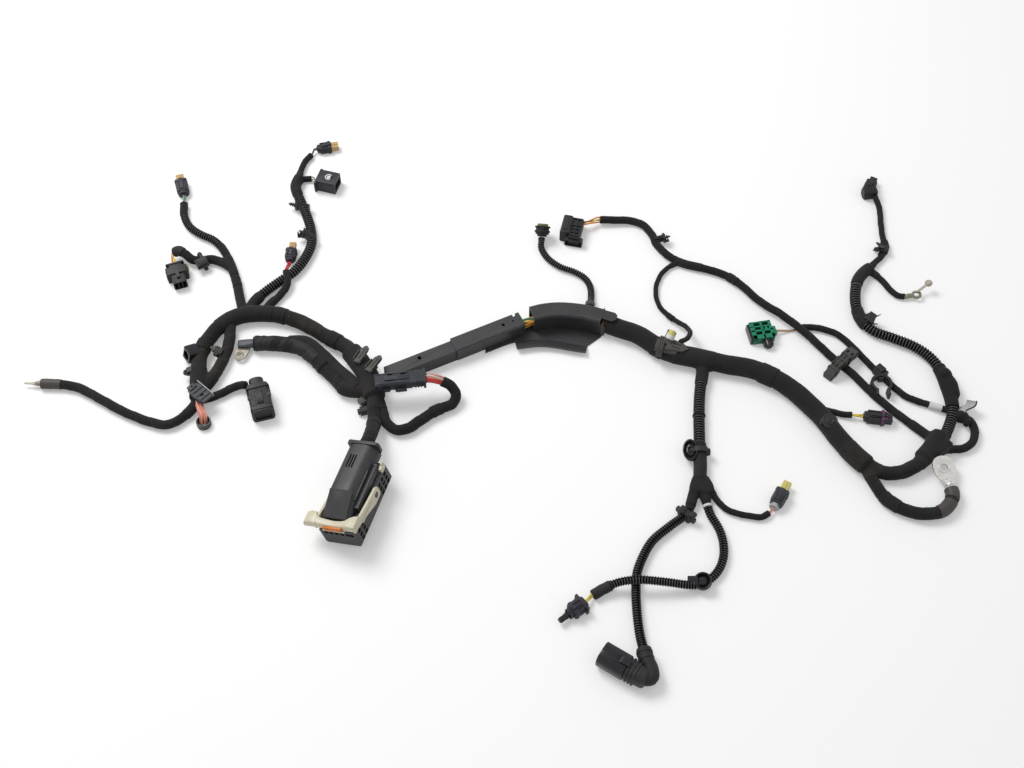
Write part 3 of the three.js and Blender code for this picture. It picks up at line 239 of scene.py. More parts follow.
def new_piece(name, points, faces, materials, uv=None, edge_dust_and_groove_shade=None, tints=None, sharp=None, faces_of=None):
    """A mesh in the row's frame from points in mm: smooth, or creased where faces meet at more than the sharp
    angle, with its texture coordinates, colours and a point mask of tape edges, where dust gathers, and rib
    grooves, which get painted shade."""
    mesh = bpy.data.meshes.new(name)
    mesh.from_pydata((np.asarray(points) * mm).tolist(), [], faces)
    mesh.shade_smooth()
    if sharp:
        mesh.set_sharp_from_angle(angle=math.radians(sharp))
    for material in materials:
        mesh.materials.append(material)
    if faces_of is not None:
        mesh.polygons.foreach_set("material_index", faces_of)
    if uv is not None:
        mesh.uv_layers.new(name="skin").data.foreach_set("uv", np.asarray(uv, np.float32).ravel())
    if edge_dust_and_groove_shade is not None:
        mesh.attributes.new("edge_dust_and_groove_shade", "FLOAT", "POINT").data.foreach_set(
            "value", np.asarray(edge_dust_and_groove_shade, np.float32).ravel())
    if tints is not None:
        mesh.attributes.new("tint", "FLOAT_COLOR", "POINT").data.foreach_set(
            "color", np.asarray(tints, np.float32).ravel())
    piece = bpy.data.objects.new(name, mesh)
    bpy.context.collection.objects.link(piece)
    return piece


def tube_faces(rows, sides):
    """Four-cornered faces between neighbouring rings, then a flat face on each end, all facing out."""
    start = np.arange(rows - 1)[:, None] * sides
    this = np.arange(sides)[None, :]
    following = (this + 1) % sides
    quads = np.stack([start + this, start + following, start + sides + following, start + sides + this],
                     axis=-1).reshape(-1, 4)
    first = list(range(sides))[::-1]
    last = list(range((rows - 1) * sides, rows * sides))
    return quads.tolist() + [first, last]


def tube_uv(along, sides, around):
    """Texture coordinates in mm: along the tube, and round it as a whole number of mm, so that a pattern
    with a 1 mm repeat meets itself."""
    u = np.repeat(along, sides + 1).reshape(-1, sides + 1)
    v = np.tile(np.linspace(0, round(around), sides + 1), (len(along), 1))
    grid = np.stack([u, v], axis=-1)
    quads = np.stack([grid[:-1, :-1], grid[:-1, 1:], grid[1:, 1:], grid[1:, :-1]], axis=2).reshape(-1, 2)
    return np.vstack([quads, grid[0, :-1][::-1], grid[-1, :-1]])


def rings_round(line, radius, sides):
    """Rings of points round a line, at a distance that may differ from point to point."""
    angle = np.linspace(0, 2 * np.pi, sides, endpoint=False)[None, :, None]
    _, left, up = along_across(line)
    return line[:, None] + radius * (np.cos(angle) * left[:, None] + np.sin(angle) * up[:, None])


def drawn_along(name, line, radius, materials, edge_dust_and_groove_shade=None, along=None, ribbed_rows=None):
    """A closed tube: rings of points at a given distance from the line, joined along it."""
    rows, sides = radius.shape
    points = rings_round(line, radius[..., None], sides)
    if along is None:
        along = np.concatenate([[0], np.cumsum(np.linalg.norm(np.diff(line, axis=0), axis=1))])
    faces_of = None
    if ribbed_rows is not None:
        per_face = np.repeat(ribbed_rows[:-1].astype(int), sides)
        faces_of = np.concatenate([per_face, [0, 0]])
    return new_piece(name, points.reshape(-1, 3), tube_faces(rows, sides), materials,
                     uv=tube_uv(along, sides, 2 * np.pi * np.median(radius)), edge_dust_and_groove_shade=edge_dust_and_groove_shade, faces_of=faces_of)


def rib_wave(along, pitch):
    """Ribs of a split tube, 0 in a groove to 1 on a rib: a cosine wave with its grooves widened."""
    return (0.5 + 0.5 * np.cos(2 * np.pi * along / pitch)) ** 1.6


tape_width = 19.0
tape_step = 0.42
tape_sunk = 0.12
slit_half_angle = 0.16
thick_sleeve = 9
thick_sides, thin_sides = 28, 20


def sleeve_shape(name, seed, ribbed=(), wrap=tape_width, swell=0.035, slit=None, pitch=3.6):
    """Rings of a sleeve. Taped stretches swell unevenly and step at each turn of the tape, which is a
    helix; stretches named in ribbed, as shares of the length, carry ribs instead and may show a slit."""
    dia = routes[name][0]
    line = route_line(name, 0.5)
    along = np.linspace(0, 1, len(line)) * np.linalg.norm(np.diff(line, axis=0), axis=1).sum()
    share = along / along[-1]
    is_ribbed = np.zeros(len(line), bool)
    for low, high in ribbed:
        is_ribbed |= (share >= low) & (share <= high)
    keep = is_ribbed | (np.arange(len(line)) % 3 == 0)
    keep[[0, -1]] = True
    line, along, share, is_ribbed = line[keep], along[keep], share[keep], is_ribbed[keep]
    sides = thick_sides if dia > thick_sleeve else thin_sides
    angle = np.linspace(0, 2 * np.pi, sides, endpoint=False)[None, :]
    s = along[:, None]
    turn = np.mod(s / wrap - angle / (2 * np.pi), 1.0)
    bulges = swell * ripple(s, angle, seed, 90) + 0.006 * ripple(s, angle, seed + 9, 9)
    taped = dia / 2 * (1 - swell * 0.6 + bulges) + tape_step * (1 - turn) ** 2 - tape_sunk
    ribs = rib_wave(s, pitch) + 0 * angle
    if slit:
        ribs = ribs * (1 - np.exp(-((angle - math.radians(slit)) / slit_half_angle) ** 2))
    deep = 0.95 + 0.03 * dia
    tubed = dia / 2 - deep + deep * ribs
    radius = np.where(is_ribbed[:, None], tubed, np.minimum(taped, dia / 2 * 1.05))
    edge = np.exp(-(turn / 0.05) ** 2)
    # The point mask: on ribbed stretches it is the groove depth, which the tube's material turns into painted
    # shade; on tape it is the tape's edges, where dust gathers.
    edge_dust_and_groove_shade = np.where(is_ribbed[:, None], 1 - ribs, edge)
    return line, radius, edge_dust_and_groove_shade, along, is_ribbed


def weave_group():
    """Fine cloth: two crossed sine waves of 1 mm divided by Threads, and their height."""
    tree = bpy.data.node_groups.new("fine_weave", "ShaderNodeTree")
    tree.interface.new_socket("Threads", in_out="INPUT", socket_type="NodeSocketFloat")
    tree.interface.new_socket("Height", in_out="OUTPUT", socket_type="NodeSocketFloat")
    given = tree.nodes.new("NodeGroupInput")
    skin = node(tree, "UVMap", uv_map="skin")
    parts = node(tree, "SeparateXYZ", {0: skin.outputs[0]})
    waves = []
    for axis in "XY":
        turned = node(tree, "Math", {0: parts.outputs[axis], 1: given.outputs[0]}, operation="MULTIPLY")
        angle = node(tree, "Math", {0: turned.outputs[0], 1: 2 * math.pi}, operation="MULTIPLY")
        waves.append(node(tree, "Math", {0: angle.outputs[0]}, operation="SINE").outputs[0])
    product = node(tree, "Math", {0: waves[0], 1: waves[1]}, operation="MULTIPLY")
    out = tree.nodes.new("NodeGroupOutput")
    tree.links.new(product.outputs[0], out.inputs[0])
    return tree


def dust_group():
    """Uneven dust: broad noise times fine noise, more where the point mask of tape edges and rib grooves is
    high, by In Marks.
    """
    tree = bpy.data.node_groups.new("dust", "ShaderNodeTree")
    for name, kind in (("Size", "NodeSocketFloat"), ("Amount", "NodeSocketFloat"),
                       ("In Marks", "NodeSocketFloat")):
        tree.interface.new_socket(name, in_out="INPUT", socket_type=kind)
    tree.interface.new_socket("Mask", in_out="OUTPUT", socket_type="NodeSocketFloat")
    tree.interface.new_socket("Grain", in_out="OUTPUT", socket_type="NodeSocketFloat")
    given = tree.nodes.new("NodeGroupInput")
    place = node(tree, "TexCoord")
    broad = node(tree, "TexNoise", {"Vector": place.outputs["Object"], "Scale": given.outputs["Size"],
                                    "Detail": 4.0, "Roughness": 0.6})
    fine = node(tree, "TexNoise", {"Vector": place.outputs["Object"], "Scale": 900.0, "Detail": 3.0,
                                   "Roughness": 0.7})
    patch = node(tree, "MapRange", {"Value": broad.outputs[0], "From Min": 0.45, "From Max": 0.75})
    speck = node(tree, "MapRange", {"Value": fine.outputs[0], "From Min": 0.35, "From Max": 0.7})
    both = node(tree, "Math", {0: patch.outputs[0], 1: speck.outputs[0]}, operation="MULTIPLY")
    level = node(tree, "Math", {0: both.outputs[0], 1: given.outputs["Amount"]}, operation="MULTIPLY")
    edge_dust_and_groove_shade = node(tree, "Attribute", attribute_name="edge_dust_and_groove_shade")
    extra = node(tree, "Math", {0: edge_dust_and_groove_shade.outputs["Fac"], 1: given.outputs["In Marks"]}, operation="MULTIPLY")
    whole = node(tree, "Math", {0: level.outputs[0], 1: extra.outputs[0]}, operation="ADD", use_clamp=True)
    out = tree.nodes.new("NodeGroupOutput")
    tree.links.new(whole.outputs[0], out.inputs["Mask"])
    tree.links.new(fine.outputs[0], out.inputs["Grain"])
    return tree


fine_weave = weave_group()
dust = dust_group()


def new_material(name):
    made = bpy.data.materials.new(name)
    made.use_nodes = True
    tree = made.node_tree
    tree.nodes.clear()
    surface = node(tree, "BsdfPrincipled")
    node(tree, "OutputMaterial", {"Surface": surface.outputs[0]})
    return made, tree, surface


def use_group(tree, group, **values):
    made = tree.nodes.new("ShaderNodeGroup")
    made.node_tree = group
    for key, value in values.items():
        made.inputs[key.replace("_", " ")].default_value = value
    return made


def feed(tree, surface, **sources):
    for key, socket in sources.items():
        tree.links.new(socket, surface.inputs[key.replace("_", " ")])


def two_tone(tree, mask, plain, other):
    """A colour that goes from plain to other as the mask rises; each is a colour or a socket."""
    mixed = node(tree, "Mix", {"Factor": mask}, data_type="RGBA")
    for place, colour in ((6, plain), (7, other)):
        if isinstance(colour, tuple):
            mixed.inputs[place].default_value = (*colour, 1)
        else:
            tree.links.new(colour, mixed.inputs[place])
    return mixed.outputs[2]


def cloth_tape(name, colour=(0.010, 0.010, 0.0115), dusty=(0.060, 0.050, 0.040), amount=0.45, threads=2.0,
               depth=0.12, marked=0.25):
    """Black cloth tape: fine weave, dull, with brown-grey dust that gathers along the tape's edges."""
    made, tree, surface = new_material(name)
    surface.inputs["Specular IOR Level"].default_value = 0.22
    surface.inputs["Sheen Weight"].default_value = 0.06
    surface.inputs["Sheen Roughness"].default_value = 0.5
    dirt = use_group(tree, dust, Size=14.0, Amount=amount, In_Marks=marked)
    weave = use_group(tree, fine_weave, Threads=threads)
    rough = node(tree, "MapRange", {"Value": dirt.outputs["Grain"], "To Min": 0.72, "To Max": 0.98})
    height = node(tree, "Math", {0: weave.outputs[0], 1: 0.35, 2: dirt.outputs["Grain"]},
                  operation="MULTIPLY_ADD")
    bump = node(tree, "Bump", {"Height": height.outputs[0], "Strength": 0.55, "Distance": depth * mm})
    feed(tree, surface, Base_Color=two_tone(tree, dirt.outputs["Mask"], colour, dusty),
         Roughness=rough.outputs[0], Normal=bump.outputs[0])
    return made


def split_tube():
    """Ribbed nylon tube: satin ribs with a little brown dust in patches, over grooves that get painted shade:
    near black and with their reflection turned down.
    """
    made, tree, surface = new_material("split_tube")
    satin_rib, brown_dust = (0.040, 0.0405, 0.041), (0.075, 0.065, 0.05)
    # The grooves' near-black colour is painted shade, not the tube's own colour.
    painted_groove_shade = (0.0022, 0.0024, 0.0024)
    dirt = use_group(tree, dust, Size=22.0, Amount=0.4, In_Marks=0.0)
    edge_dust_and_groove_shade = node(tree, "Attribute", attribute_name="edge_dust_and_groove_shade")
    # deep rises into the grooves. There the colour goes to the painted groove shade and the reflection is
    # turned down, also as painted shade.
    deep = node(tree, "MapRange", {"Value": edge_dust_and_groove_shade.outputs["Fac"], "From Min": 0.1, "From Max": 0.75})
    shine = node(tree, "MapRange", {"Value": deep.outputs[0], "To Min": 0.55, "To Max": 0.02})
    rough = node(tree, "MapRange", {"Value": dirt.outputs["Mask"], "To Min": 0.36, "To Max": 0.8})
    bump = node(tree, "Bump", {"Height": dirt.outputs["Grain"], "Strength": 0.2, "Distance": 0.05 * mm})
    worn = two_tone(tree, dirt.outputs["Mask"], satin_rib, brown_dust)
    feed(tree, surface, Base_Color=two_tone(tree, deep.outputs[0], worn, painted_groove_shade),
         Roughness=rough.outputs[0], Normal=bump.outputs[0])
    tree.links.new(shine.outputs[0], surface.inputs["Specular IOR Level"])
    return made


tape = cloth_tape("cloth_tape")
old_tape = cloth_tape("old_tape", colour=(0.013, 0.0125, 0.012), dusty=(0.11, 0.085, 0.06), amount=0.7)
woven = cloth_tape("woven_sleeve", colour=(0.012, 0.0122, 0.0135), dusty=(0.08, 0.06, 0.042), amount=0.5,
                   threads=1.0, depth=0.3, marked=0.1)
tube_plastic = split_tube()

# What each sleeve is made of: the CAD solid that it stands for, the stretches that are ribbed tube as
# shares of its length, and, for a free cord, whether it runs back from its far end and what is there.
sleeves = {
    "tail": dict(nodes=["tail_sleeve"], back=True, far_end="fitting", wrap=22),
    "plug_sleeve": dict(nodes=["plug_sleeve"], far_end="connector"),
    "trunk": dict(nodes=["left_trunk"], far_end="object", wrap=24, swell=0.06, skin=old_tape),
    "hub": dict(nodes=[], wrap=16, swell=0.08, skin=old_tape),
    "back_sleeve": dict(nodes=["back_sleeve"], far_end="object", skin=old_tape),
    "stem": dict(nodes=["stem_conduit"], far_end="connector", ribbed=[(0.56, 0.9)], pitch=3.4),
    "fold": dict(nodes=["fold_sleeve"], far_end="connector"),
    "upper_conduit": dict(nodes=["upper_conduit"], far_end="object", ribbed=[(0.14, 0.86)], pitch=3.8),
    "upper_tail": dict(nodes=[], far_end="connector"),
    "square_stub": dict(nodes=[]),
    "inner_sleeve": dict(nodes=["inner_sleeve"], far_end="connector"),
    "ring_lead": dict(nodes=["ring_lead"], back=True, far_end="fitting", wrap=40, swell=0.09),
    "power_loop": dict(nodes=["power_loop"], back=True, far_end="connector"),
    "ecu_stem": dict(nodes=["ecu_stem"], wrap=14),
    "sensor_conduit": dict(nodes=["sensor_conduit"], far_end="connector", ribbed=[(0.06, 0.97)], pitch=3.1),
    "right_trunk": dict(nodes=["right_trunk"], far_end="object", wrap=400, swell=0.035, skin=woven),
    "right_arm": dict(nodes=["right_arm"]),
    "junction": dict(nodes=[], wrap=15, swell=0.09, skin=old_tape),
    "lug_lead": dict(nodes=["lug_lead"], far_end="fitting", wrap=24),
    "upper_run": dict(nodes=["upper_run"], back=True, far_end="connector", wrap=26),
    "thin_loop": dict(nodes=["thin_loop"], far_end="object"),
    "second_run": dict(nodes=["second_run"], back=True, far_end="connector"),
    "down_branch": dict(nodes=["down_branch"], far_end="object", ribbed=[(0.16, 0.74)], pitch=3.6),
    "lower_conduit": dict(nodes=["lower_conduit"], far_end="connector", ribbed=[(0.1, 0.99)], slit=70,
                          pitch=3.1),
    "cross_conduit": dict(nodes=["cross_conduit"], far_end="connector", ribbed=[(0.08, 0.9)], slit=110,
                          pitch=3.1),
    "short_sleeve": dict(nodes=["short_sleeve"], far_end="connector"),
    "side_lead": dict(nodes=["side_lead"]),
    "right_conduit": dict(nodes=["right_conduit"], far_end="object", ribbed=[(0.06, 0.88)], pitch=3.9),
    "top_lead": dict(nodes=["top_lead"], far_end="connector"),
    "ground_lead": dict(nodes=["ground_lead"], far_end="fitting"),
    "right_loop": dict(nodes=["right_loop"], far_end="object"),
}

# The same pass keeps each sleeve's line, turned to run from its exit to its far end, and opens the list
# of the pieces that it carries.
lines = {}
on_sleeve = {name: [] for name in routes}
for number, (name, facts) in enumerate(sleeves.items()):
    shaping = {key: facts[key] for key in ("ribbed", "wrap", "swell", "slit", "pitch") if key in facts}
    line, radius, edge_dust_and_groove_shade, along, ribbed_rows = sleeve_shape(name, number * 7 + 1, **shaping)
    piece = drawn_along(name + "_skin", line, radius, [facts.get("skin", tape), tube_plastic], edge_dust_and_groove_shade, along,
                        ribbed_rows)
    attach(piece, "harness")
    if facts["nodes"]:
        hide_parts(*facts["nodes"])
    lines[name] = line[::-1] if facts.get("back") else line

# Control unit connector: a black housing with rows of coding cells, a charcoal hood over its wires, and
# a milky locking lever with an orange slide in its bow. The hood is moulded, smooth on top, with vents.
# Like all plugs and clips it is joined from closed shapes, drawn with X from the wires to the front.
ecu_roll = 16.0
ecu_seat = dict(x=-152.0, y=-134.0, z=23.5 * math.sin(math.radians(ecu_roll)), yaw=-108.0, roll=ecu_roll)


def scuff_group():
    """Thin scratches, 0 to 1: where a noise stretched along one direction crosses its middle value,
    in two directions, thinned out by a broad noise."""
    tree = bpy.data.node_groups.new("scuffs", "ShaderNodeTree")
    tree.interface.new_socket("Amount", in_out="INPUT", socket_type="NodeSocketFloat")
    tree.interface.new_socket("Mask", in_out="OUTPUT", socket_type="NodeSocketFloat")
    given = tree.nodes.new("NodeGroupInput")
    place = node(tree, "TexCoord")
    thin = []
    for angle in (0.5, 1.9):
        turned_place = node(tree, "Mapping", {"Vector": place.outputs["Object"],
                                              "Rotation": (0.3, 0.2, angle),
                                              "Scale": (50.0, 700.0, 700.0)})
        wave = node(tree, "TexNoise", {"Vector": turned_place.outputs[0], "Scale": 1.0, "Detail": 2.0})
        off = node(tree, "Math", {0: wave.outputs[0], 1: 0.5}, operation="SUBTRACT")
        near = node(tree, "Math", {0: off.outputs[0]}, operation="ABSOLUTE")
        thin.append(node(tree, "MapRange", {"Value": near.outputs[0], "From Max": 0.012, "To Min": 1.0,
                                            "To Max": 0.0}).outputs[0])
    either = node(tree, "Math", {0: thin[0], 1: thin[1]}, operation="MAXIMUM")
    broad = node(tree, "TexNoise", {"Vector": place.outputs["Object"], "Scale": 60.0})
    patch = node(tree, "MapRange", {"Value": broad.outputs[0], "From Min": 0.45, "From Max": 0.65})
    there = node(tree, "Math", {0: either.outputs[0], 1: patch.outputs[0]}, operation="MULTIPLY")
    level = node(tree, "Math", {0: there.outputs[0], 1: given.outputs[0]}, operation="MULTIPLY")
    out = tree.nodes.new("NodeGroupOutput")
    tree.links.new(level.outputs[0], out.inputs[0])
    return tree


scuffs = scuff_group()


def moulded(name, colour, rubbed, rough=0.45, specular=0.3, dusty=(0.07, 0.062, 0.052), amount=0.25,
            scratched=0.35, grain=0.25, milky=0.0):
    """Moulded plastic: fine grain, thin dust and scratches. The second material is the same on the
    rounded edges, where handling has rubbed it paler."""
    look = []
    for part, wear in (("", 0.0), ("_edge", 0.65)):
        made, tree, surface = new_material(name + part)
        surface.inputs["Specular IOR Level"].default_value = specular
        surface.inputs["Subsurface Weight"].default_value = milky
        surface.inputs["Subsurface Radius"].default_value = (0.004, 0.003, 0.002)
        dirt = use_group(tree, dust, Size=34.0, Amount=amount, In_Marks=0.0)
        scratches = use_group(tree, scuffs, Amount=scratched)
        rub = node(tree, "MapRange", {"Value": dirt.outputs["Grain"], "From Min": 0.35, "From Max": 0.65,
                                      "To Max": wear})
        worn = node(tree, "Math", {0: rub.outputs[0], 1: scratches.outputs[0]}, operation="MAXIMUM")
        clean = two_tone(tree, worn.outputs[0], colour, rubbed)
        matt = node(tree, "MapRange", {"Value": dirt.outputs["Mask"], "To Min": rough, "To Max": 0.85})
        bump = node(tree, "Bump", {"Height": dirt.outputs["Grain"], "Strength": grain, "Distance": 0.05 * mm})
        feed(tree, surface, Base_Color=two_tone(tree, dirt.outputs["Mask"], clean, dusty),
             Roughness=matt.outputs[0], Normal=bump.outputs[0])
        look.append(made)
    return look


cover_plastic = moulded("cover_plastic", (0.031, 0.031, 0.034), (0.12, 0.12, 0.125), rough=0.38, amount=0.4,
                        scratched=0.5, dusty=(0.085, 0.078, 0.072))
milky = moulded("milky_plastic", (0.62, 0.575, 0.43), (0.78, 0.75, 0.64), rough=0.34, specular=0.45,
                dusty=(0.36, 0.31, 0.2), amount=0.35, scratched=0.3, milky=0.35)
orange_plastic = moulded("orange_plastic", (0.60, 0.165, 0.012), (0.75, 0.33, 0.09), rough=0.4, amount=0.25)


def extruded(outline, axis, low, high):
    """A flat outline in the two other axes, in cyclic order, drawn out from low to high."""
    flat = np.asarray(outline, float)
    following = np.roll(flat, -1, axis=0)
    if np.sum(flat[:, 0] * following[:, 1] - flat[:, 1] * following[:, 0]) < 0:
        flat = flat[::-1]
    points = np.zeros((2, len(flat), 3))
    points[:, :, (axis + 1) % 3] = flat[:, 0]
    points[:, :, (axis + 2) % 3] = flat[:, 1]
    points[:, :, axis] = [[low], [high]]
    return points.reshape(-1, 3), tube_faces(2, len(flat))


def box(x0, x1, y0, y1, z0, z1):
    return extruded([[y0, z0], [y1, z0], [y1, z1], [y0, z1]], 0, x0, x1)


def across(outline, y0, y1):
    """An outline of [x, z] points drawn out along Y."""
    return extruded(np.asarray(outline, float)[:, ::-1], 1, y0, y1)


def slab(outline, z0, z1):
    return extruded(outline, 2, z0, z1)


def turned(profile, axis=0, centre=(0.0, 0.0), sides=28):
    """A round form from [place, radius] pairs along an axis."""
    pairs = np.asarray(profile, float)
    angle = np.linspace(0, 2 * np.pi, sides, endpoint=False)
    points = np.zeros((len(pairs), sides, 3))
    points[..., axis] = pairs[:, :1]
    points[..., (axis + 1) % 3] = centre[0] + pairs[:, 1:] * np.cos(angle)
    points[..., (axis + 2) % 3] = centre[1] + pairs[:, 1:] * np.sin(angle)
    return points.reshape(-1, 3), tube_faces(len(pairs), sides)


def ring_at(x, width, low, high, corner, y=0.0, steps=4):
    """Points round a rectangle with round corners, at one x, from +Y towards +Z."""
    points = []
    for quarter, (side, up) in enumerate(((1, 1), (-1, 1), (-1, -1), (1, -1))):
        angle = np.linspace(0, np.pi / 2, steps) + quarter * np.pi / 2
        middle_y = y + side * (width / 2 - corner)
        middle_z = high - corner if up > 0 else low + corner
        points.append(np.stack([np.full(steps, x), middle_y + corner * np.cos(angle),
                                middle_z + corner * np.sin(angle)], axis=1))
    return np.vstack(points)


def joined(rings):
    """A closed shape through rings of the same number of points."""
    return np.vstack(rings), tube_faces(len(rings), len(rings[0]))


def bar(x0, x1, width, low, high, corner=1.4, y=0.0):
    return joined([ring_at(x, width, low, high, corner, y) for x in (x0, x1)])


def socket(x0, x1, width, low, high, corner, wall, depth):
    """A bar with an open mouth in its front."""
    inner = (width - 2 * wall, low + wall, high - wall, max(corner - wall / 2, 0.5))
    return joined([ring_at(x0, width, low, high, corner), ring_at(x1, width, low, high, corner),
                   ring_at(x1, *inner), ring_at(x1 - depth, *inner)])


def moved(shape, x=0.0, y=0.0, z=0.0, yaw=0.0, pitch=0.0, roll=0.0):
    """The shape rolled about X, pitched about Y and turned about Z, in that order, and then moved."""
    angles = np.radians([yaw, pitch, roll])
    (cz, cy, cx), (sz, sy, sx) = np.cos(angles), np.sin(angles)
    about_z = np.array([[cz, -sz, 0], [sz, cz, 0], [0, 0, 1]])
    about_y = np.array([[cy, 0, sy], [0, 1, 0], [-sy, 0, cy]])
    about_x = np.array([[1, 0, 0], [0, cx, -sx], [0, sx, cx]])
    turn = about_z @ about_y @ about_x
    return shape[0] @ turn.T + np.array([x, y, z]), shape[1]


def round_edges(piece, width):
    rounding = piece.modifiers.new("rounding", "BEVEL")
    rounding.width = width * mm
    rounding.segments = 2
    rounding.limit_method = "ANGLE"
    rounding.angle_limit = math.radians(28)
    rounding.harden_normals = True
    rounding.material = 1


def merged(shapes):
    points, faces, count = [], [], 0
    for shape_points, shape_faces in shapes:
        points.append(shape_points)
        faces += [[corner + count for corner in face] for face in shape_faces]
        count += len(shape_points)
    return np.vstack(points), faces


def carve(piece, points, faces):
    """Cuts closed shapes out of a piece, and keeps the result as its mesh."""
    cutter = new_piece("cutter", points, faces, [])
    cut = piece.modifiers.new("cut", "BOOLEAN")
    cut.object = cutter
    cut.solver = "EXACT"
    cut.use_self = True
    done = bpy.data.meshes.new_from_object(piece.evaluated_get(bpy.context.evaluated_depsgraph_get()))
    piece.modifiers.clear()
    piece.data = done
    bpy.data.objects.remove(cutter)
    done.shade_smooth()


def solid(name, shapes, look, seat=None, replaces=(), bevel=0.45, body="harness", sharp=28, cuts=()):
    """One object joined from closed shapes and set on its seat, with its edges rounded off."""
    points, faces = merged(shapes)
    seat = seat or {}
    piece = new_piece(name, moved((points, None), **seat)[0] + layout_zero, faces, look, sharp=sharp)
    if cuts:
        points, faces = merged(cuts)
        carve(piece, moved((points, None), **seat)[0] + layout_zero, faces)
        piece.data.set_sharp_from_angle(angle=math.radians(sharp))
    if bevel:
        round_edges(piece, bevel)
    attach(piece, body)
    if replaces:
        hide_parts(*replaces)
    return piece


def kept(name, look, bevel):
    """A CAD solid whose shape is right: its edges are rounded off and it gets its finished materials."""
    piece = bpy.data.objects[name]
    for slot in piece.material_slots:
        slot.material = look[0]
    piece.data.materials.append(look[1])
    weld = piece.modifiers.new("weld", "WELD")
    weld.merge_threshold = 0.02 * mm
    round_edges(piece, bevel)


kept("ecu_housing", cover_plastic, 0.7)


def hood_ring(x, inset=0.0):
    """Half of a rounded outline, boxier on the left, whose top slopes down towards the lever."""
    angle = np.linspace(0, np.pi, 29)
    squareness = np.where(np.cos(angle) > 0, 0.75, 0.5)
    rise = 19.0 - inset - max(0.0, x - 56.0) * math.tan(math.radians(21))
    y = -4 + (19 - inset) * np.sign(np.cos(angle)) * np.abs(np.cos(angle)) ** squareness
    z = 28.3 + rise * np.abs(np.sin(angle)) ** squareness
    return np.stack([np.full(29, x), y, z], axis=1)


hood_places = [(-12, 1.0), (-11, 0.0), (0, 0), (20, 0), (40, 0), (54, 0), (58, 0), (70, 0), (84.8, 0),
               (86, 1.2)]
hood = [joined([hood_ring(x, inset) for x, inset in hood_places])]
hood += [
    bar(-15, -11, 41, 30.3, 48.3, 4, y=-4),
    bar(8, 70, 6, 28.3, 37.3, 1.5, y=17.6), bar(20, 62, 2.2, 30, 40.5, 0.8, y=13.4),
    moved(bar(0, 34, 30, 0, 1.0, 0.4, y=-4), x=54, z=46.8, pitch=21),
]
solid("ecu_hood", hood, cover_plastic, ecu_seat, ["ecu_cover"], bevel=0.8,
      cuts=[box(5, 23, y, y + 2.0, 44.2, 50) for y in (-12.5, -9, -5.5)]
      + [box(-16, -12.6, -9, -1, 45.6, 47.4), box(10, 68, 16.2, 19, 36.2, 38)])


def bow_ring(y, back, rise):
    ring = ring_at(0, 98 - back, 28.6, 28.6 + rise, 2.6, y=(98 + back) / 2)
    return np.stack([ring[:, 1], np.full(len(ring), y), ring[:, 2]], axis=1)[::-1]


bow = [(-40.6, 84.4, 7.4), (-39, 81.8, 9.8), (-34, 80.6, 10.8), (-28, 81.4, 11), (-24.6, 86.6, 10.4),
       (-20, 88.2, 9.6), (-12, 88.6, 8.4), (-4, 89, 7.6), (5, 88.6, 8.2), (11, 88, 9.8), (16, 84.6, 11),
       (20, 81.4, 10.4), (26.8, 80.6, 11)]
lever_arm = [[32, 18], [35, 15], [48, 15], [70, 22.6], [91, 28.6], [98, 28.6], [98, 39.6], [74, 34.6],
             [46, 31], [36, 30], [32, 27]]
lever = [joined([bow_ring(*place) for place in bow])]
lever += [across(lever_arm, -26.8, -23.8), across(lever_arm, 23.8, 26.8)]
lever += [box(97, 100, -16, 12, 28.6, 30.4), across([[78, 30], [90, 30], [90, 37], [86, 36]], 20.5, 24),
          box(52, 80, 26.4, 27.3, 24, 27)]
lever_eye = [turned([(-28, 3.8), (-23, 3.8)], 1, (22, 40)), turned([(23, 3.8), (28, 3.8)], 1, (22, 40))]
solid("ecu_bow", lever, milky, ecu_seat, ["ecu_lever"], bevel=0.8, body="lever", cuts=lever_eye)
slide = [bar(98.3, 100.7, 24, 30.9, 36.9, 0.8, y=-2)]
slide += [box(100.4, 101.1, y, y + 1.2, 31.8, 36) for y in (-11, -8.5, 4.4, 6.9)]
solid("ecu_slide", slide, orange_plastic, ecu_seat, ["ecu_lock_slide"], bevel=0.3, body="lever")
solid("ecu_slide_tip", [bar(3, 12, 4.2, 25, 32.4, 1.2, y=22.6), bar(1.5, 6, 2.6, 26, 34.6, 1, y=22.8)], milky,
      ecu_seat, bevel=0.5)

# Cable channel: two straight boxes of charcoal plastic, one slid over the other, then a curved lid over
# a curved tray with a flared lip. The harness's wires show in the gap between box and lid.
duct_plastic = moulded("duct_plastic", (0.038, 0.039, 0.0415), (0.12, 0.12, 0.125), rough=0.42, amount=0.35,
                       scratched=0.5, dusty=(0.095, 0.088, 0.08))
kept("left_duct", duct_plastic, 0.6)
kept("right_duct", duct_plastic, 0.6)


def swept(profile, path):
    """A profile of [side, up] points drawn along a level curve; side is to the left of travel."""
    flat = np.asarray(profile, float)
    line = smooth_line([(x, y, 0.0) for x, y in path], 1.5)
    _, left, up = along_across(line)
    rings = line[:, None] + flat[None, :, :1] * left[:, None] + flat[None, :, 1:] * up[:, None]
    return rings.reshape(-1, 3), tube_faces(len(line), len(flat))


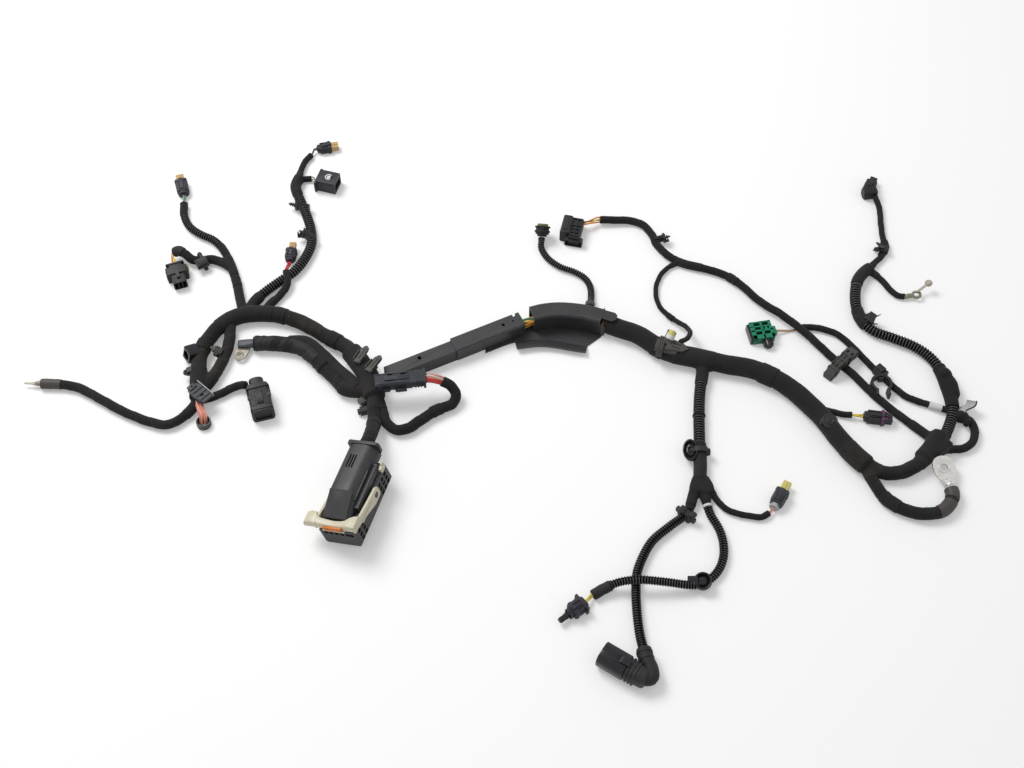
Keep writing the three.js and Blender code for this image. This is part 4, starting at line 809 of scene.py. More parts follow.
lid_route = [[36, 93.6], [50, 98], [67, 100.4], [84, 99.8], [104, 96.6], [126, 89.5]]
lid = [[11, 2.1], [11, 27.4], [9.4, 29], [-9.4, 29], [-11, 27.4], [-11, 2.1], [-9.2, 2.1], [-9.2, 27.2],
       [9.2, 27.2], [9.2, 2.1]]
rim = [[-10.6, 24.6], [-10.6, 25.8], [-11.6, 25.8], [-11.6, 24.6]]
solid("curved_lid", [
    swept(lid, lid_route), swept(rim[::-1], lid_route),
    moved(slab([[-2, -5], [14, -5], [18, -1], [18, 6], [14, 9], [-2, 9]], 27.5, 29), x=126, y=89.5, yaw=-20),
    moved(bar(-1.6, 0, 23.6, 18, 29.8, 1.6), x=126, y=89.5, yaw=-19),
    moved(turned([(26, 6.4), (31.4, 5.6), (32, 5.2)], 2), x=109.6, y=104.6, z=-14),
], cover_plastic, None, ["curved_cover"], bevel=0.5)
tray_front = [[-23, 50], [15, 67], [45, 71], [67, 69], [90, 64], [107, 61]]
tray_back = [[104, 109], [84, 112], [67, 112], [50, 110], [22, 99], [-22, 77]]
front_line = [tuple(point[:2]) for point in smooth_line([(*point, 0.0) for point in tray_front], 4.0)]
back_line = [tuple(point[:2]) for point in smooth_line([(*point, 0.0) for point in tray_back], 4.0)]
solid("flared_tray", [
    slab([*front_line, (125, 76), (133, 100), *back_line], 0, 1.8),
    swept([[1, 0], [-0.4, 1.8], [-15, 8], [-15, 6.2]], tray_front[1:]),
    swept([[-14.4, 6], [-14.4, 8.8], [-15.4, 8.8], [-15.4, 6]][::-1], tray_front[1:]),
    moved(bar(0, 3, 25, 0, 24, 3), x=127.4, y=89, yaw=-19),
    *[moved(box(-2, 5, y, y + 1.6, 2, 20), x=127.4, y=89, yaw=-19) for y in (-11, 9.4)],
], duct_plastic, None, ["curved_tray"], bevel=0.4)

# The channel's wires are thin copper in coloured insulation, and wind round each other.
insulations = {
    "orange": (0.78, 0.24, 0.02), "yellow": (0.72, 0.56, 0.06), "red": (0.62, 0.035, 0.02),
    "crimson": (0.46, 0.02, 0.03), "salmon": (0.66, 0.22, 0.14), "pink": (0.75, 0.33, 0.27),
    "white": (0.74, 0.72, 0.68), "green": (0.07, 0.25, 0.10), "grey": (0.22, 0.24, 0.22),
    "brown": (0.12, 0.045, 0.02), "black": (0.012, 0.012, 0.014), "tan": (0.48, 0.33, 0.20),
}


def insulation(name):
    """Smooth wire insulation in each wire's own colour, with a little dust."""
    made, tree, surface = new_material(name)
    surface.inputs["Specular IOR Level"].default_value = 0.5
    dirt = use_group(tree, dust, Size=60.0, Amount=0.35, In_Marks=0.0)
    own = node(tree, "Attribute", attribute_name="tint")
    matt = node(tree, "MapRange", {"Value": dirt.outputs["Mask"], "To Min": 0.32, "To Max": 0.8})
    bump = node(tree, "Bump", {"Height": dirt.outputs["Grain"], "Strength": 0.1, "Distance": 0.05 * mm})
    dusty = two_tone(tree, dirt.outputs["Mask"], own.outputs["Color"], (0.2, 0.17, 0.13))
    feed(tree, surface, Base_Color=dusty, Roughness=matt.outputs[0], Normal=bump.outputs[0])
    return [made]


wire_skin = insulation("wire_insulation")


def strands(name, paths, colours, dia=2.2, step=1.2, sides=10, replaces=()):
    """One object of several wires, each along its own path and in its own colour."""
    points, faces, tints, count = [], [], [], 0
    for path, colour in zip(paths, colours):
        line = smooth_line(path, step)
        points.append(rings_round(line, dia / 2, sides).reshape(-1, 3))
        faces += [[corner + count for corner in face] for face in tube_faces(len(line), sides)]
        tints.append(np.tile([*insulations[colour], 1.0], (len(line) * sides, 1)))
        count += len(line) * sides
    piece = new_piece(name, np.vstack(points), faces, wire_skin, tints=np.vstack(tints), sharp=50)
    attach(piece, "harness")
    if replaces:
        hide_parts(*replaces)
    return piece


bundle_route = [(-162, -2, 9.4), (-145, 6.9, 9.4), (-101, 28.6, 9.4), (-57, 50.2, 9.4), (-16, 70.4, 9.4),
                (24.5, 89.6, 9.4), (40, 95.5, 9.4), (60, 99.5, 9.4), (82, 100, 9.4), (104, 97, 9.4),
                (120, 92, 10), (131.9, 87.5, 11.6)]
bundle_line = smooth_line(np.array(bundle_route) + layout_zero, 5.0)
_, bundle_left, bundle_up = along_across(bundle_line)
outer_wires, inner_wires = 9, 5
bundle_paths = []
for number in range(outer_wires + inner_wires):
    is_outer = number < outer_wires
    spread = 5.1 if is_outer else 2.3
    steps = np.arange(len(bundle_line))
    angle = 2 * np.pi * number / (outer_wires if is_outer else inner_wires) + 0.22 * steps
    angle = angle + 0.35 * np.sin(steps * 0.7 + number * 2.1)
    bundle_paths.append(bundle_line + spread * (np.cos(angle)[:, None] * bundle_left
                                                + np.sin(angle)[:, None] * bundle_up))
strands("channel_wires", bundle_paths, ["orange", "yellow", "orange", "orange", "yellow", "orange", "green",
                                        "yellow", "orange", "orange", "yellow", "orange", "green", "white"],
        2.4, 2.0, replaces=["channel_bundle"])

# Two-way sensor plugs: a black shell with a seal cap at the wires, a lock tongue on top and a coloured
# front with two cells. They are alike and differ in size and in the colour of the front. Bare wires run
# from a sleeve's end into the seals of each plug; each bows a little to its own side.
black = moulded("black_plastic", (0.012, 0.0125, 0.0145), (0.075, 0.078, 0.085))
blue_black = moulded("blue_black_plastic", (0.016, 0.0185, 0.026), (0.22, 0.23, 0.25), scratched=0.9)
purple_black = moulded("purple_black_plastic", (0.019, 0.0165, 0.026), (0.11, 0.10, 0.13))
gloss_black = moulded("gloss_black_plastic", (0.009, 0.009, 0.0125), (0.06, 0.06, 0.075), rough=0.13,
                      specular=0.3, amount=0.12, grain=0.08)
tan_plastic = moulded("tan_plastic", (0.52, 0.34, 0.145), (0.70, 0.53, 0.30), rough=0.4, amount=0.25)
yellow_plastic = moulded("yellow_plastic", (0.62, 0.56, 0.18), (0.74, 0.70, 0.40), rough=0.36, amount=0.2,
                         milky=0.2)
purple_plastic = moulded("purple_plastic", (0.115, 0.03, 0.10), (0.3, 0.16, 0.28), rough=0.4)
pale_grey = moulded("pale_grey_plastic", (0.42, 0.42, 0.43), (0.6, 0.6, 0.6), rough=0.4, amount=0.3)


def pigtail(name, sleeve, seat, height, colours, dia=2.2, bow=1.6, via=()):
    """Wires from 5 mm inside a sleeve's end to 2 mm inside the wire entry of a plug."""
    line = lines[sleeve]
    leave = (line[-1] - line[-4]) / np.linalg.norm(line[-1] - line[-4])
    turn = math.radians(seat["yaw"])
    arrive = np.array([math.cos(turn), math.sin(turn), 0])
    goal = np.array([seat["x"], seat["y"], height]) + layout_zero
    paths = []
    for number in range(len(colours)):
        side = number - (len(colours) - 1) / 2
        sag = np.array([0, 0, bow * (0.5 - number % 2)])
        offset = [side * dia * 0.95 * np.array([-a[1], a[0], 0]) for a in (leave, arrive)]
        middle = [np.array(point) + layout_zero + offset[0] * 0.7 for point in via]
        paths.append([line[-1] - 5 * leave + offset[0] * 0.8, line[-1] + 2 * leave + offset[0] + sag, *middle,
                      goal - 4 * arrive + offset[1] - sag * 0.6, goal + 2 * arrive + offset[1]])
    return strands(name, paths, colours, dia)


def sensor_plug(name, seat, length, width, height, tip_length, tip_width, tip_height, look, tip_look,
                more=()):
    front, middle, half = length - tip_length, height / 2, width / 2
    low, high = middle - tip_height / 2, middle + tip_height / 2
    shell = [
        joined([ring_at(0, width - 5.4, 2.4, height - 2.4, 2.4),
                ring_at(0.9, width - 4, 1.6, height - 1.6, 3),
                ring_at(5, width - 4, 1.6, height - 1.6, 3)]),
        bar(4, front, width - 1.6, 0.8, height - 0.8, 1.8),
        bar(front - 5, front - 1.5, width, 0, height, 2),
        across([[7, height - 1.5], [front - 1, height - 1.5], [front - 1, height + 2],
                [front - 3.4, height + 2], [front - 4.6, height + 1.1], [9, height + 0.8],
                [7, height + 0.2]], -2.3, 2.3),
    ]
    shell += [box(6, front - 5, y, y + 0.9, height - 1.6, height + 0.8) for y in (-4.3, 3.4)]
    shell += [box(x, x + 0.8, 0.2 - half, half - 0.2, 2.4, height - 2.4)
              for x in np.arange(7, front - 6.5, 1.7)]
    shell += [turned([(-1.2, 1.4), (-0.6, 2.0), (1.5, 2.0)], 0, (y, middle)) for y in (-2.2, 2.2)]
    body = solid(name + "_shell", shell + list(more), look, seat, [name], bevel=0.35)
    tip = [socket(front - 2, length, tip_width, low, high, 1.0, 0.9, 6),
           box(length - 6.4, length - 0.5, -0.6, 0.6, low + 0.5, high - 0.5),
           box(front - 1, length - 1.4, -0.7, 0.7, high - 0.3, high + 0.7),
           box(length - 6.5, length - 4.5, 0.6 - tip_width / 2, tip_width / 2 - 0.6, low + 0.6, high - 0.6)]
    return [body, solid(name + "_tip", tip, tip_look, seat, bevel=0.25)]


two_pin_seat = dict(x=-439, y=315, yaw=107)
on_sleeve["stem"] += [
    *sensor_plug("two_pin_plug", two_pin_seat, 36, 17, 14, 10, 11, 8, purple_black, tan_plastic),
    pigtail("stem_wires", "stem", two_pin_seat, 7, ["green", "grey"]),
]
upper_seat = dict(x=-263, y=402, yaw=12)
on_sleeve["upper_tail"] += [
    *sensor_plug("upper_plug", upper_seat, 30, 15, 13, 10, 11, 8, black, tan_plastic),
    pigtail("upper_tail_wires", "upper_tail", upper_seat, 6.5, ["black", "grey"], 1.8),
]
inner_seat = dict(x=-283, y=194, z=3, yaw=86)
on_sleeve["inner_sleeve"] += [
    *sensor_plug("inner_plug", inner_seat, 31, 15, 13, 11, 9, 7, purple_black, tan_plastic),
    pigtail("inner_wires", "inner_sleeve", inner_seat, 9.5, ["crimson", "crimson"], 2.6, 0.8),
]
lower_seat = dict(x=93, y=-301, yaw=219)
on_sleeve["cross_conduit"] += [
    *sensor_plug("lower_plug", lower_seat, 25, 18, 15, 5, 11, 9, purple_black, black,
                 [bar(3, 6, 23, 0, 15, 1.2)]),
    solid("lower_probe", [
        turned([(20, 3.5), (36.4, 3.5), (38, 2.6)], 0, (0, 7.5)),
        turned([(27, 4.1), (28.6, 4.1)], 0, (0, 7.5)),
    ], gloss_black, lower_seat, bevel=0.3),
    pigtail("lower_wires", "cross_conduit", lower_seat, 7.5, ["yellow", "yellow"]),
]
yellow_tip_seat = dict(x=319, y=-177, yaw=59)
on_sleeve["short_sleeve"] += [
    *sensor_plug("yellow_tip_plug", yellow_tip_seat, 37, 17, 14, 13, 10, 8, blue_black, yellow_plastic),
    pigtail("short_wires", "short_sleeve", yellow_tip_seat, 7, ["pink", "tan"], 2.0),
    solid("grey_seal", [
        turned([(-3, 5.2), (-2.4, 6), (-1, 6), (-0.6, 5.3), (0.2, 6), (1.6, 6)], 0, (0, 7)),
    ], pale_grey, yellow_tip_seat, bevel=0.25),
]
side_seat = dict(x=442, y=-50, yaw=-8)
on_sleeve["side_lead"] += [
    *sensor_plug("side_plug", side_seat, 34, 16, 14, 8, 12, 9, black, purple_black),
    solid("side_ring", [
        bar(20.6, 23.4, 16.9, -0.3, 14.5, 2.2),
        *[bar(23, 27.4, 2.2, z, z + 2, 0.6, y=y) for y, z in ((-4.6, 12.2), (0, 12.2), (4.6, 12.2))],
    ], purple_plastic, side_seat, bevel=0.3),
    pigtail("side_wires", "side_lead", side_seat, 7, ["yellow", "yellow"]),
]

# Three-way plug: a flanged black shell with a ribbed skirt, three cells in its front and an olive lock
# tab on its side. Three thick wires enter its rear.
olive_plastic = moulded("olive_plastic", (0.22, 0.19, 0.085), (0.42, 0.38, 0.2), rough=0.45, amount=0.3)
three_way_seat = dict(x=-433, y=186, yaw=-70)
on_sleeve["fold"] += [
    solid("three_way_shell", [
        bar(0, 2.4, 24, 0, 18, 1.6), bar(2, 8, 18, 1, 17, 2), bar(7, 19, 28, 0, 18, 2),
        socket(18, 34, 18, 2, 16, 1.8, 1.4, 9),
        *[box(x, x + 0.9, -14.5, 14.5, 4, 14) for x in (9, 11.4, 13.8, 16.2)],
        *[box(26, 33.4, y - 0.6, y + 0.6, 3, 15) for y in (-2.6, 2.6)],
        *[box(20, 33, y, y + 1.2, 15.4, 16.7) for y in (-6.6, 5.4)],
        across([[8, 17], [26, 15.6], [27, 18.6], [23, 18.6], [10, 19.2]], -2.4, 2.4),
        *[turned([(-1.2, 1.5), (-0.5, 2.1), (1.5, 2.1)], 0, (y, 9)) for y in (-5, 0, 5)],
    ], black, three_way_seat, ["three_way_plug"], bevel=0.35),
    solid("three_way_tab", [bar(3, 13, 5.5, 6, 12, 1, y=12.7), box(5, 11, 15.2, 16.2, 7.4, 10.6)],
          olive_plastic, three_way_seat, bevel=0.3),
    pigtail("fold_wires", "fold", three_way_seat, 9, ["red", "yellow", "yellow"], 2.6, 0.8),
]

# Square plug: purple-black, with a rear flange, an open mouth and a pale U-shaped lock ring on
# top. Its three thin wires are bare over most of the stub.
white_plastic = moulded("white_plastic", (0.70, 0.70, 0.68), (0.80, 0.80, 0.78), rough=0.45, amount=0.3)
square_seat = dict(x=-257, y=340.5, yaw=-16)
arc = np.linspace(0.9, 2 * np.pi - 0.9, 25)
on_sleeve["upper_conduit"] += [
    solid("square_shell", [
        bar(0, 3, 29, 0, 18, 1.4), joined([ring_at(2.5, 24, 0, 20, 2), ring_at(29, 24, 0, 20, 2),
                                           ring_at(29, 18, 4, 15, 1.2), ring_at(19, 18, 4, 15, 1.2)]),
        *[box(x, x + 1.0, -12.6, 12.6, 3, 17) for x in (5, 7.6, 10.2)],
        *[box(19, 27, y - 0.5, y + 0.5, 5, 14) for y in (-3, 3)],
        *[turned([(-1.2, 1.5), (-0.5, 2.1), (1.5, 2.1)], 0, (y, 8)) for y in (-2.4, 2.4)],
    ], purple_black, square_seat, ["square_plug"], bevel=0.4,
        cuts=[turned([(17, 5.5), (22, 5.5)], 2, (17, 0))]),
    solid("square_ring", [
        slab([*[(17 + 5.2 * math.cos(a), 5.2 * math.sin(a)) for a in arc],
              *[(17 + 3.9 * math.cos(a), 3.9 * math.sin(a)) for a in arc[::-1]]], 17.5, 20.4),
        turned([(16, 2.9), (19.8, 2.7), (20, 2.4)], 2, (17, 0)),
    ], white_plastic, square_seat, bevel=0.2),
    pigtail("square_wires", "square_stub", square_seat, 8, ["white", "green", "green"], 1.7, 3.0),
]

# Angled plug: a cable elbow at its rear, a ribbed body, a long lock bar on top and an open front.
# It is moulded in black plastic, and the sleeve ends in its elbow.
elbow_seat = dict(x=-307.5, y=1, yaw=-74)
on_sleeve["plug_sleeve"] += [solid("elbow_shell", [
    joined([ring_at(0, 14, 4, 18, 5), ring_at(1.6, 18, 2.4, 19.6, 6), ring_at(15, 19, 2, 20, 6)]),
    joined([ring_at(12, 23, 1, 22, 4), ring_at(14, 26, 0, 24, 3.4), ring_at(55, 26, 0, 24, 3.4),
            ring_at(55, 20, 4, 20, 2), ring_at(43, 20, 4, 20, 2)]),
    bar(18, 21, 29, 0, 25.5, 3.4), bar(49, 53, 28, 0, 25, 3.4),
    across([[22, 23], [45, 23], [45, 25.4], [42, 26.8], [26, 26.8], [22, 25]], -4, 4),
    *[box(22, 47, y, y + 1.1, 23.4, 25.2) for y in (-9.6, -6.6, 5.5, 8.5)],
    *[box(x, x + 1.1, -13.7, 13.7, 5, 19) for x in (24, 27, 30, 33, 36, 39, 42)],
    *[bar(42, 50, 3.0, 9, 15, 0.8, y=y) for y in (-6, 0, 6)],
    *[turned([(x, 3.2), (x + 4, 2.8)], 2, (33, side)) for x, side in ((20, -11.6), (20, 11.6))],
], black, elbow_seat, ["elbow_plug"], bevel=0.45)]

# Power plug: long, flat and blue-black, lying on the hub, with a ribbed rear and worn top edges.
# Five thick wires in reds and white enter it side by side.
power_seat = dict(x=-95, y=-11, z=26.3, yaw=187)
on_sleeve["power_loop"] += [solid("power_shell", [
    bar(0, 3, 22, 0, 14, 1.6), bar(2, 18, 17.5, 0.6, 13, 2),
    *[bar(x, x + 1.7, 19.6, 0.4, 13.6, 2) for x in (5, 8.5, 12)],
    socket(17, 62, 19, 0, 13, 2.2, 2.2, 9),
    *[box(53, 61.4, y - 0.6, y + 0.6, 1.6, 11.4) for y in (-2.8, 2.8)],
    across([[19, 12.4], [51, 12.4], [50, 14.4], [46, 14.8], [24, 14.2], [20, 13.6]], -3, 3),
    *[box(20, 60, y, y + 0.9, 12.2, 13.7) for y in (-7.6, 6.7)],
    *[box(18.5, 60, y, y + 0.7, 6.2, 7.0) for y in (-9.9, 9.2)],
    across([[24, 1], [36, 1], [38, 3], [36, 6], [26, 6], [24, 4]], 8.6, 13.2), bar(44, 52, 4, 1, 6, 1, y=10),
    *[turned([(-1.2, 1.8), (-0.5, 2.4), (1.5, 2.4)], 0, (y, 6.5)) for y in (-5, 0, 5)],
], blue_black, power_seat, ["power_plug"], bevel=0.4,
    cuts=[box(x, x + 6, -6.5, -4.5, 11, 15) for x in (24, 40)]),
    pigtail("power_wires", "power_loop", power_seat, 32.8,
            ["pink", "white", "salmon", "red", "crimson"], 2.9, 1.0)]

# Round plug: a rubber-covered stack of rings, set at a slant, with an olive front that has two cells.
# The rubber is dull and grips the end of the tube.
rubber = moulded("rubber", (0.014, 0.014, 0.0155), (0.06, 0.06, 0.062), rough=0.68, specular=0.3,
                 scratched=0.1, grain=0.4)
round_seat = dict(x=51, y=236, z=11, yaw=84, pitch=-38)
round_profile = [(0, 5.4), (0.7, 6.4), (2.6, 6.6), (3.2, 8.6), (3.8, 9), (5.4, 9), (5.8, 10.4), (7.8, 10.4),
                 (8.3, 9), (9.4, 9), (9.7, 8.6), (10.4, 8.6), (10.7, 9), (11.5, 9), (12, 10.4), (13.8, 10.4),
                 (14.3, 7.6)]
on_sleeve["sensor_conduit"] += [
    solid("round_shell", [turned(round_profile), across([[4, 8], [14, 9.6], [14, 11.6], [6, 11]], -2.2, 2.2)],
          rubber, round_seat, ["round_plug"], bevel=0.3),
    solid("round_tip", [
        turned([(12, 7.2), (17, 7.2), (17, 5.6), (14.6, 5.6)]), box(14, 16.8, -0.9, 0.9, -5.8, 5.8),
        box(14, 16.4, -5.8, 5.8, 3.4, 5), box(14, 16.4, -5.8, 5.8, -5, -3.4),
    ], olive_plastic, round_seat, bevel=0.25),
]

# Wide plug: a black moulded body whose back is a grid of ribs, with a lock slide along its left side.
# Its wires turn sharply as they leave it, so they have a seat of their own at its rear.
wide_seat = dict(x=101, y=264, yaw=-103)
wide_entry = dict(x=109.2, y=260, yaw=191.3)
on_sleeve["upper_run"] += [solid("wide_shell", [
    bar(0, 36, 15, 0, 15.2, 1.6), joined([ring_at(-1, 11, 1, 18, 2, -13.5), ring_at(1, 13, 0, 20, 2.4, -13.5),
                                          ring_at(31, 13, 0, 20, 2.4, -13.5)]),
    socket(31, 38, 24, 1, 13, 1.6, 1.6, 5),
    *[box(x, x + 1.5, -6.6, 6.6, 14.4, 17) for x in (0.5, 12.2, 18.4, 24.5, 30.4, 34)],
    *[box(0.5, 35.5, y, y + 1.4, 14.4, 17) for y in (-7, -1.2, 5.2)],
    *[box(x, x + 1.0, -20.4, -6.8, 4, 16) for x in (4, 7, 10, 20, 23, 26)],
    across([[6, 19], [24, 19], [26, 21], [8, 21]], -16, -11),
    *[turned([(-1.6, 1.4), (1.5, 1.9)], 0, (y, 9)) for y in (-4.4, 0, 4.4)],
], black, wide_seat, ["wide_plug"], bevel=0.35),
    pigtail("wide_wires", "upper_run", wide_entry, 11, ["orange", "brown", "yellow", "orange"], 2.0, 3.4)]

# Green plug: a green lattice block over a black core, with a black side plate, a wire tab and a black
# spout at its side.
green_plastic = moulded("green_plastic", (0.004, 0.205, 0.105), (0.06, 0.36, 0.22), rough=0.38, amount=0.2)
green_seat = dict(x=348, y=82, yaw=190)
bars_along = [(-13.5, -11.6), (-6.6, -4.8), (-0.6, 2.2), (7.2, 13.5)]
bars_across = [(5, 8.6), (16.6, 19.4), (27.6, 33)]
on_sleeve["second_run"] += [
    solid("green_block", [
        bar(5, 33, 27, 0, 8, 1.6), bar(0, 6, 12, 2, 10, 1.2),
        *[box(5, 33, y0, y1, 7, 13) for y0, y1 in bars_along],
        *[box(x0, x1, -13.5, 13.5, 7, 13) for x0, x1 in bars_across], box(11, 14, -5, 0, 7, 12.4),
        *[box(x, x + 0.9, 12.8, 14.0, 2, 11) for x in (7, 24, 27, 30)],
    ], green_plastic, green_seat, ["green_plug"], bevel=0.4),
    solid("green_core", [
        box(8, 28, -12, 8, 7.4, 9.4), bar(32.5, 36, 25, 0, 11, 1.2),
        joined([ring_at(9, 9, 2.4, 9.6, 2, 18), ring_at(21, 9, 2.4, 9.6, 2, 18)]),
        turned([(13.4, 6.2), (15, 6.2), (15.4, 5.2), (22.6, 5.0), (23.8, 4.2)], 1, (6, 15)),
    ], gloss_black, green_seat, bevel=0.3),
    pigtail("green_plug_wires", "second_run", green_seat, 5, ["tan", "tan"], 1.9, 0.6, [(372, 86, 1.4)]),
]

# Large oval plug: a glossy black shell with an open mouth that shows its terminal block, a ribbed rear
# and a rubber elbow where the tube goes in.
oval_seat = dict(x=157, y=-397, yaw=147)
tube_sides = 20


def oval_at(x, width, height):
    """A ring whose outline lies between an oval and a rectangle: each wave is raised to the power 0.7."""
    angle = (np.arange(32) + 0.5) / 32 * 2 * np.pi
    side, rise = (np.sign(wave) * np.abs(wave) ** 0.7 for wave in (np.cos(angle), np.sin(angle)))
    return np.stack([np.full(32, x), width / 2 * side, 13 + height / 2 * rise], axis=1)


def tube(line, radius):
    """A plain tube round a line."""
    return rings_round(line, radius, tube_sides).reshape(-1, 3), tube_faces(len(line), tube_sides)


boot_places = [(-0.6, 12, 12), (0, 17, 17), (2, 21, 21), (6, 22, 22), (10, 22, 22), (12, 24, 23),
               (12.2, 27, 25), (14.2, 27, 25), (14.4, 24, 23), (16, 24, 23), (16.2, 27, 25), (18.2, 27, 25),
               (18.4, 24, 23), (20, 24, 23), (20.2, 27, 25), (22.2, 27, 25), (22.4, 24, 23), (26, 24, 23)]
shell_places = [(24, 25, 23.4), (25, 28, 26), (56, 28, 26), (57, 27.4, 25.4), (57, 24, 22), (56, 23, 21),
                (40, 22.6, 20.6)]
elbow_line = smooth_line([(155.6, -361, 11.4), (157.4, -373, 13.6), (162, -386, 14), (161.4, -394, 13.2),
                          (152, -394.6, 13)], 1.5)
on_sleeve["lower_conduit"] += [
    solid("oval_boot", [
        joined([oval_at(*place) for place in boot_places]), bar(2, 11, 5, 20, 24.6, 1.4),
        bar(8, 11, 12, 19, 24.4, 1),
    ], black, oval_seat, ["oval_plug"], bevel=0.25),
    solid("oval_shell", [
        joined([oval_at(*place) for place in shell_places]),
        across([[22, 25], [35, 25], [34, 28], [31, 29], [24, 29], [22, 27.5]], -4, 4),
        *[box(x, x + 1.0, -5.2, 5.2, 24.6, 27) for x in (36, 38.4)],
        *[box(40, 55.6, y, y + 1.2, 23.0, 24.2) for y in (-3.4, 2.2)],
        *[box(40, 55.6, y, y + 1.2, 1.8, 3.0) for y in (-5.6, 4.4)],
    ], gloss_black, oval_seat, bevel=0.35),
    solid("oval_block", [
        *[bar(38, 46 - abs(y) * 0.3, 4.2, z, z + 4.6, 0.9, y=y) for y in (-5.2, 0, 5.2) for z in (7.6, 13.6)],
        bar(37, 42, 17, 5.6, 20.4, 2),
    ], blue_black, oval_seat, bevel=0.3),
    solid("oval_elbow", [tube(elbow_line, 8.6), tube(elbow_line[2:5], 9.3), tube(elbow_line[7:10], 9.3)],
          rubber, bevel=0.3),
]

# Top plug: a ribbed elbow across the lead, with the plug's body leaving it at an angle.
# Both are black, and the elbow's rings let it bend.
top_seat = dict(x=512, y=320, yaw=188)
stem_place = dict(x=13, y=-2, yaw=-126)
on_sleeve["top_lead"] += [solid("top_shell", [
    joined([ring_at(0, 10, 3, 12, 3), ring_at(1.2, 14, 1, 14, 4), ring_at(2, 15, 0, 15, 4),
            ring_at(18.4, 15, 0, 15, 4), ring_at(20, 12, 1.4, 13.6, 4)]),
    *[bar(x, x + 1.8, 16.4, 0, 15.8, 4) for x in (3, 7, 11, 15)],
    moved(socket(0, 18, 15, 0, 14, 2, 1.6, 6), **stem_place),
    moved(bar(11, 27, 10, 2, 11, 1.4), **stem_place),
    *[moved(box(x, x + 1.0, -7.9, 7.9, 3, 11), **stem_place) for x in (8, 10.6, 13.2)],
    moved(across([[4, 13], [14, 13], [14, 16], [11, 17], [5, 16]], -2.4, 2.4), **stem_place),
], black, top_seat, ["top_plug"], bevel=0.4,
    cuts=[moved(box(22, 28, y, y + 3, 4, 9), **stem_place) for y in (-3.8, 0.8)])]

# Stretches of sleeve that carry something more: bands of tape or shrink tube round them, and tape
# wound over the joints where sleeves meet, which is stretched and so runs smoothly from one to the next.
joint_tape = cloth_tape("joint_tape", colour=(0.0135, 0.0135, 0.0145), dusty=(0.075, 0.062, 0.05), amount=0.5,
                        marked=0.0)
grey_plastic = moulded("grey_plastic", (0.040, 0.043, 0.052), (0.22, 0.22, 0.23), rough=0.5, amount=0.3)
shrink = moulded("shrink_tube", (0.052, 0.046, 0.040), (0.13, 0.12, 0.105), rough=0.5, specular=0.35,
                 scratched=0.5, grain=0.4)
white_tape = cloth_tape("white_tape", colour=(0.70, 0.69, 0.68), dusty=(0.42, 0.38, 0.33), amount=0.5)

# Past the end of every sleeve: a stretch that ends here runs to the sleeve's end.
to_end = 2000.0


def at(sleeve, x, y):
    """How far along a sleeve, in mm, its point nearest to a place lies."""
    line = route_line(sleeve) - layout_zero
    along = np.concatenate([[0], np.cumsum(np.linalg.norm(np.diff(line, axis=0), axis=1))])
    return along[np.argmin(np.hypot(line[:, 0] - x, line[:, 1] - y))]


def stretch(sleeve, start, end=to_end, step=1.5):
    """The centreline from start to end, in mm along the sleeve; less than 0 counts back from its end."""
    line = route_line(sleeve, step)
    along = np.concatenate([[0], np.cumsum(np.linalg.norm(np.diff(line, axis=0), axis=1))])
    low, high = (place + along[-1] if place < 0 else place for place in (start, end))
    return line[(along >= low) & (along <= high)]


def over(sleeve, start, end=to_end, extra=0.9):
    """A plain tube round a stretch of sleeve."""
    return tube(stretch(sleeve, start, end) - layout_zero, routes[sleeve][0] / 2 + extra)


def melted(name, shapes, look, voxel=1.2, turns=14):
    """Closed shapes melted into one skin on a grid of the voxel's size, then smoothed in turns."""
    points, faces = merged(shapes)
    piece = new_piece(name, points + layout_zero, faces, look)
    skin = piece.modifiers.new("skin", "REMESH")
    skin.mode = "VOXEL"
    skin.voxel_size = voxel * mm
    smoothing = piece.modifiers.new("smoothing", "SMOOTH")
    smoothing.iterations = turns
    made = bpy.data.meshes.new_from_object(piece.evaluated_get(bpy.context.evaluated_depsgraph_get()))
    piece.modifiers.clear()
    piece.data = made
    made.materials.clear()
    for material in look:
        made.materials.append(material)
    made.shade_smooth()
    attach(piece, "harness")
    return piece


def band(name, sleeve, start, end, extra, look, seed=3, uneven=0.25):
    """A sleeve of another stuff over a stretch, standing off by extra, with its ends turned in."""
    line = stretch(sleeve, start, end, 0.6)
    angle = np.linspace(0, 2 * np.pi, 32, endpoint=False)[None, :]
    s = np.arange(len(line))[:, None] * 0.6
    radius = routes[sleeve][0] / 2 + extra + uneven * ripple(s, angle, seed, 24)
    radius[[0, -1]] = routes[sleeve][0] / 2 - 1.2
    radius[[1, -2]] -= 0.25
    piece = drawn_along(name, line, radius, look)
    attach(piece, "harness")
    return piece


knot = (at("back_sleeve", -361, 11), at("trunk", -381, 22))
on_sleeve["trunk"] += [
    melted("knot_tape", [over("trunk", knot[1]), over("back_sleeve", knot[0]), over("tail", -26),
                         over("plug_sleeve", 0, 14)], [joint_tape]),
    melted("trunk_joint", [over("stem", 0, 52), over("upper_conduit", 0, 36), over("inner_sleeve", 0, 34),
                           over("trunk", at("trunk", -326, 104) - 34, at("trunk", -326, 104) + 40)],
           [joint_tape]),
]
on_sleeve["stem"].append(melted("fold_joint", [
    over("stem", at("stem", -358, 184) - 16, at("stem", -358, 184) + 22), over("fold", 0, 20, 0.4)],
    [joint_tape]))
on_sleeve["upper_conduit"].append(melted("stub_joint", [
    over("upper_conduit", -36), over("upper_tail", 0, 20), over("square_stub", 0, 12)], [joint_tape]))
on_sleeve["ring_lead"].append(melted("hub_joint", [
    over("hub", 0, to_end, 0.6), over("trunk", 0, 26), over("ring_lead", -30), over("ecu_stem", 0, 24),
    over("power_loop", -18)], [joint_tape]))
